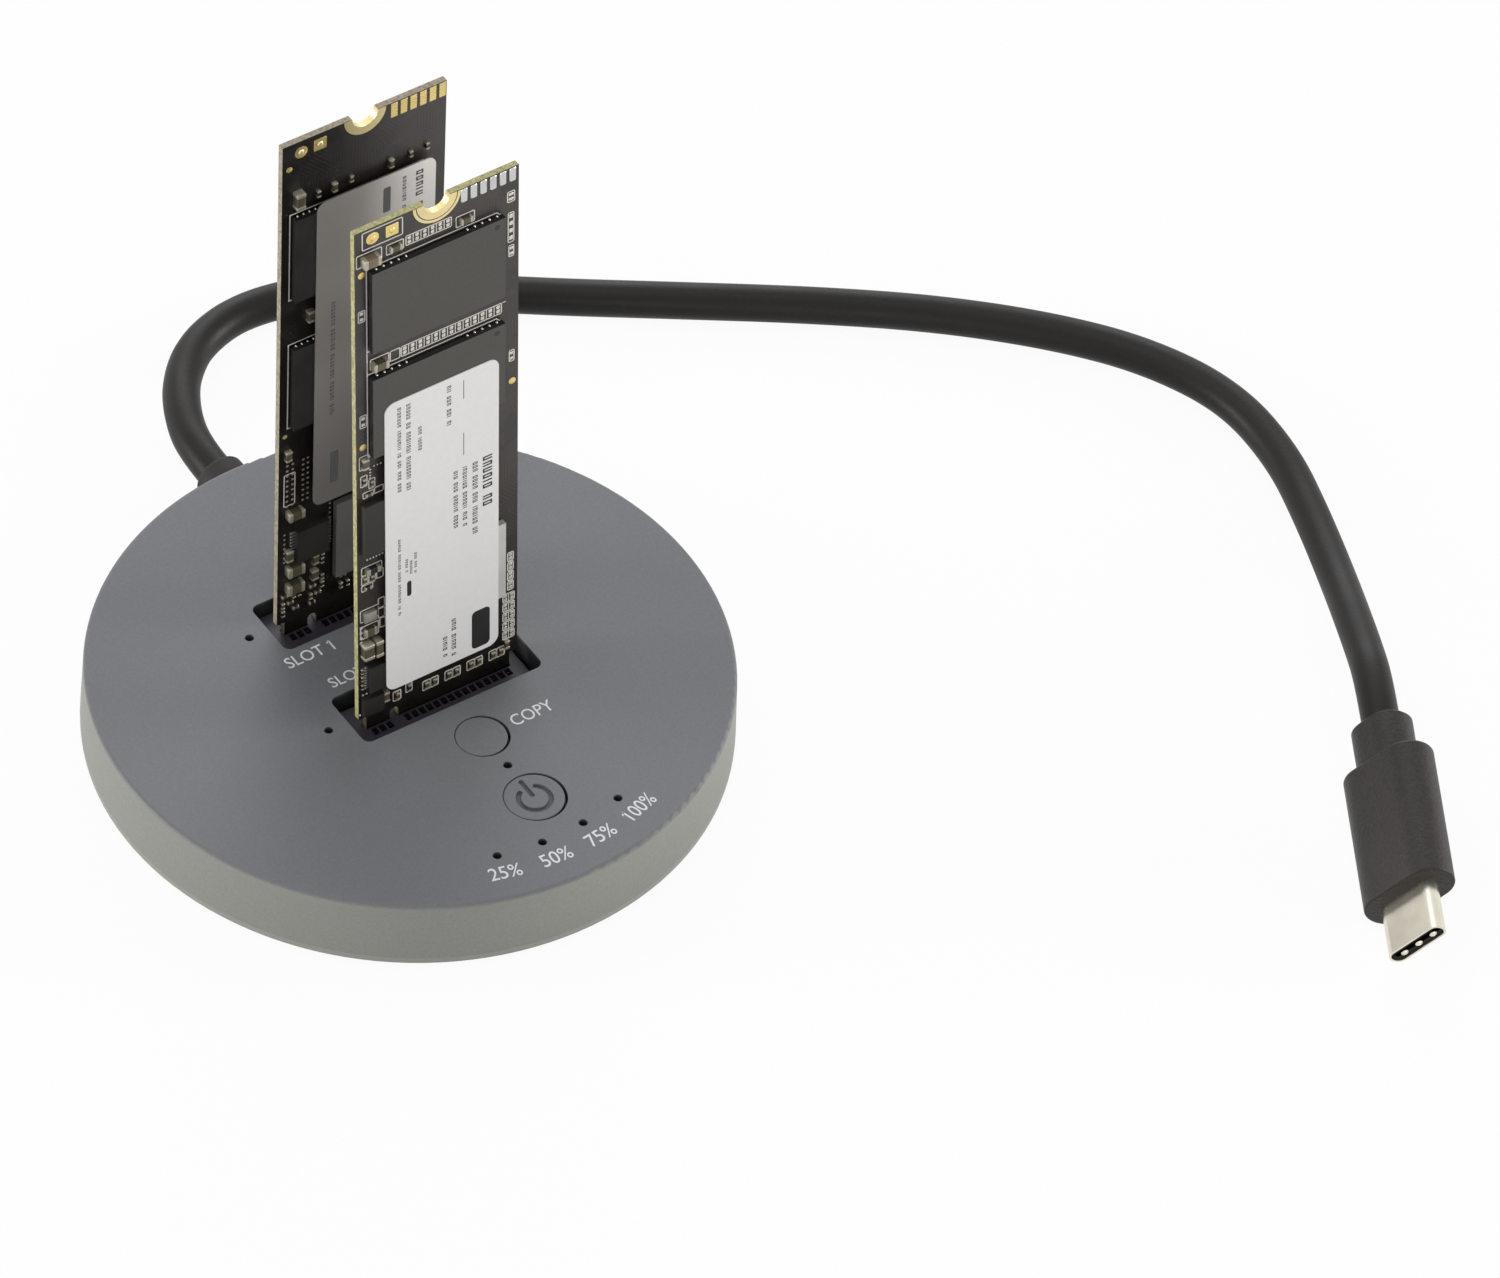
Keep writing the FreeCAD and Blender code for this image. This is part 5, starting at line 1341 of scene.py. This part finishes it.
class DUPLICATOR_OT_stage(bpy.types.Operator):
    """Set up the floor, the soft lamps and the camera"""

    bl_idname = "duplicator.stage"
    bl_label = "Stage"

    def execute(self, context):
        settings = context.scene.duplicator_stage
        self.floor(settings)
        self.surroundings(context)
        side = settings.side_power
        self.lamp("overhead_lamp", (-0.3, 0.3, 1.4), 1.2, settings.overhead_power, (0.93, 0.96, 1.0))
        self.lamp("front_lamp", (-0.7, -1.35, 0.36), 0.7, settings.front_power, (1.0, 0.985, 0.94))
        self.lamp("left_lamp", (-1.17, 0.72, 0.27), 0.5, side, (1.0, 0.985, 0.95))
        self.lamp("right_lamp", (1.27, -0.6, 0.27), 0.5, side * 1.22, (1.0, 0.985, 0.95))
        self.lamp("back_lamp", (0.75, 1.2, 0.75), 1.0, side * 0.8, (0.97, 0.98, 1.0))
        self.camera(context, settings)
        context.scene.view_settings.view_transform = "Standard"
        return {"FINISHED"}

    def seen_share(self, tree):
        """One for what the camera, a mirror or glass looks at."""
        path = add(tree, "LightPath", {}).outputs
        seen = maths(tree, "MAXIMUM", path["Is Camera Ray"], path["Is Glossy Ray"])
        return maths(tree, "MAXIMUM", seen, path["Is Transmission Ray"])

    def floor(self, settings, points_a_side=9):
        """A level square grid."""
        line = np.linspace(-0.5, 0.5, points_a_side) * settings.floor_size
        u, v = np.meshgrid(line, line)
        index = np.arange(u.size).reshape(u.shape)
        faces = np.stack([index[:-1, :-1], index[:-1, 1:], index[1:, 1:], index[1:, :-1]], axis=-1)
        mesh = bpy.data.meshes.new("floor")
        mesh.from_pydata(np.stack([u, v, 0 * u], axis=-1).reshape(-1, 3).tolist(), [],
                         faces.reshape(-1, 4).tolist())
        mesh.materials.append(self.floor_material(settings.floor_colour))
        new_object("floor", mesh)

    def floor_material(self, tone):
        """Matt paint, most of it seen as plain white, so that what is left holds the object's shadow."""
        material, tree, vector = new_material("floor_paint")
        shader = own_node(tree, "BSDF_PRINCIPLED")
        cloud = noise(tree, vector, 3.0, 2.0)
        put(tree, shader.inputs["Base Color"], mixed(tree, cloud, darker(tone, 0.985), tone))
        shader.inputs["Roughness"].default_value = 0.9
        shader.inputs["Specular IOR Level"].default_value = 0.1
        glow = add(tree, "Emission", {"Color": (1, 1, 1), "Strength": 1.0})
        white_share = 0.94
        share = maths(tree, "MULTIPLY", self.seen_share(tree), white_share)
        blend = add(tree, "MixShader", {0: share, 1: shader.outputs[0], 2: glow.outputs[0]})
        put(tree, own_node(tree, "OUTPUT_MATERIAL").inputs["Surface"], blend.outputs[0])
        return material

    def surroundings(self, context):
        """White for what looks at it, and weaker as a light."""
        world = bpy.data.worlds.new("surroundings")
        world.use_nodes = True
        tree = world.node_tree
        tree.nodes.clear()
        light = 0.38
        strength = maths(tree, "MULTIPLY_ADD", self.seen_share(tree), 1 - light, light)
        back = add(tree, "Background", {"Color": (1, 1, 1), "Strength": strength})
        add(tree, "OutputWorld", {"Surface": back.outputs[0]})
        context.scene.world = world

    def lamp(self, name, place, size, strength, tone):
        """A soft square lamp that faces the object."""
        data = bpy.data.lights.new(name, "AREA")
        data.energy = strength
        data.size = size
        data.color = tone
        lamp = new_object(name, data)
        aim = Vector((0.02, 0, 0.03)) - Vector(place)
        lamp.location = place
        lamp.rotation_euler = aim.to_track_quat("-Z", "Y").to_euler()

    def camera(self, context, settings):
        """A long lens at the photograph's viewing angle."""
        right = Vector((0.828081, -0.557820, 0.055848))
        up = Vector((0.371281, 0.620337, 0.690893))
        forward = Vector((0.420038, 0.551380, -0.720797))
        pose = Matrix((right, up, -forward)).transposed().to_4x4()
        pose.translation = Vector((-0.506588, -0.729864, 0.941979))
        data = bpy.data.cameras.new("camera")
        data.lens = settings.focal_length
        data.sensor_width = 36.0
        data.sensor_fit = "HORIZONTAL"
        data.clip_start = 0.01
        camera = new_object("camera", data)
        camera.matrix_world = pose
        context.scene.camera = camera


STEPS = [
    DUPLICATOR_OT_stage, DUPLICATOR_OT_cord, DUPLICATOR_OT_case, DUPLICATOR_OT_case_print,
    DUPLICATOR_OT_buttons, DUPLICATOR_OT_sockets, DUPLICATOR_OT_drives, DUPLICATOR_OT_capacitors,
    DUPLICATOR_OT_small_parts, DUPLICATOR_OT_gold, DUPLICATOR_OT_board_print, DUPLICATOR_OT_label_print,
    DUPLICATOR_OT_inner_board,
]


class DUPLICATOR_PT_panel(bpy.types.Panel):
    """Lists the steps that dress the drive duplicator"""

    bl_label = "Drive duplicator"
    bl_idname = "DUPLICATOR_PT_panel"
    bl_space_type = "VIEW_3D"
    bl_region_type = "UI"
    bl_category = "Duplicator"

    def draw(self, context):
        layout = self.layout
        for group in ("duplicator_case", "duplicator_cards", "duplicator_cord", "duplicator_stage"):
            settings = getattr(context.scene, group)
            box = layout.box()
            for name in settings.__annotations__:
                box.prop(settings, name)
        for step in STEPS:
            layout.operator(step.bl_idname)


GROUPS = {
    "duplicator_case": CaseSettings,
    "duplicator_cards": CardSettings,
    "duplicator_cord": CordSettings,
    "duplicator_stage": StageSettings,
}


def register():
    for kind in list(GROUPS.values()) + STEPS + [DUPLICATOR_PT_panel]:
        bpy.utils.register_class(kind)
    for name, kind in GROUPS.items():
        setattr(bpy.types.Scene, name, PointerProperty(type=kind))


def unregister():
    for name in GROUPS:
        delattr(bpy.types.Scene, name)
    for kind in reversed(list(GROUPS.values()) + STEPS + [DUPLICATOR_PT_panel]):
        bpy.utils.unregister_class(kind)


def main():
    register()
    for step in STEPS:
        group, name = step.bl_idname.split(".")
        getattr(getattr(bpy.ops, group), name)()


if __name__ == "__main__":
    main()
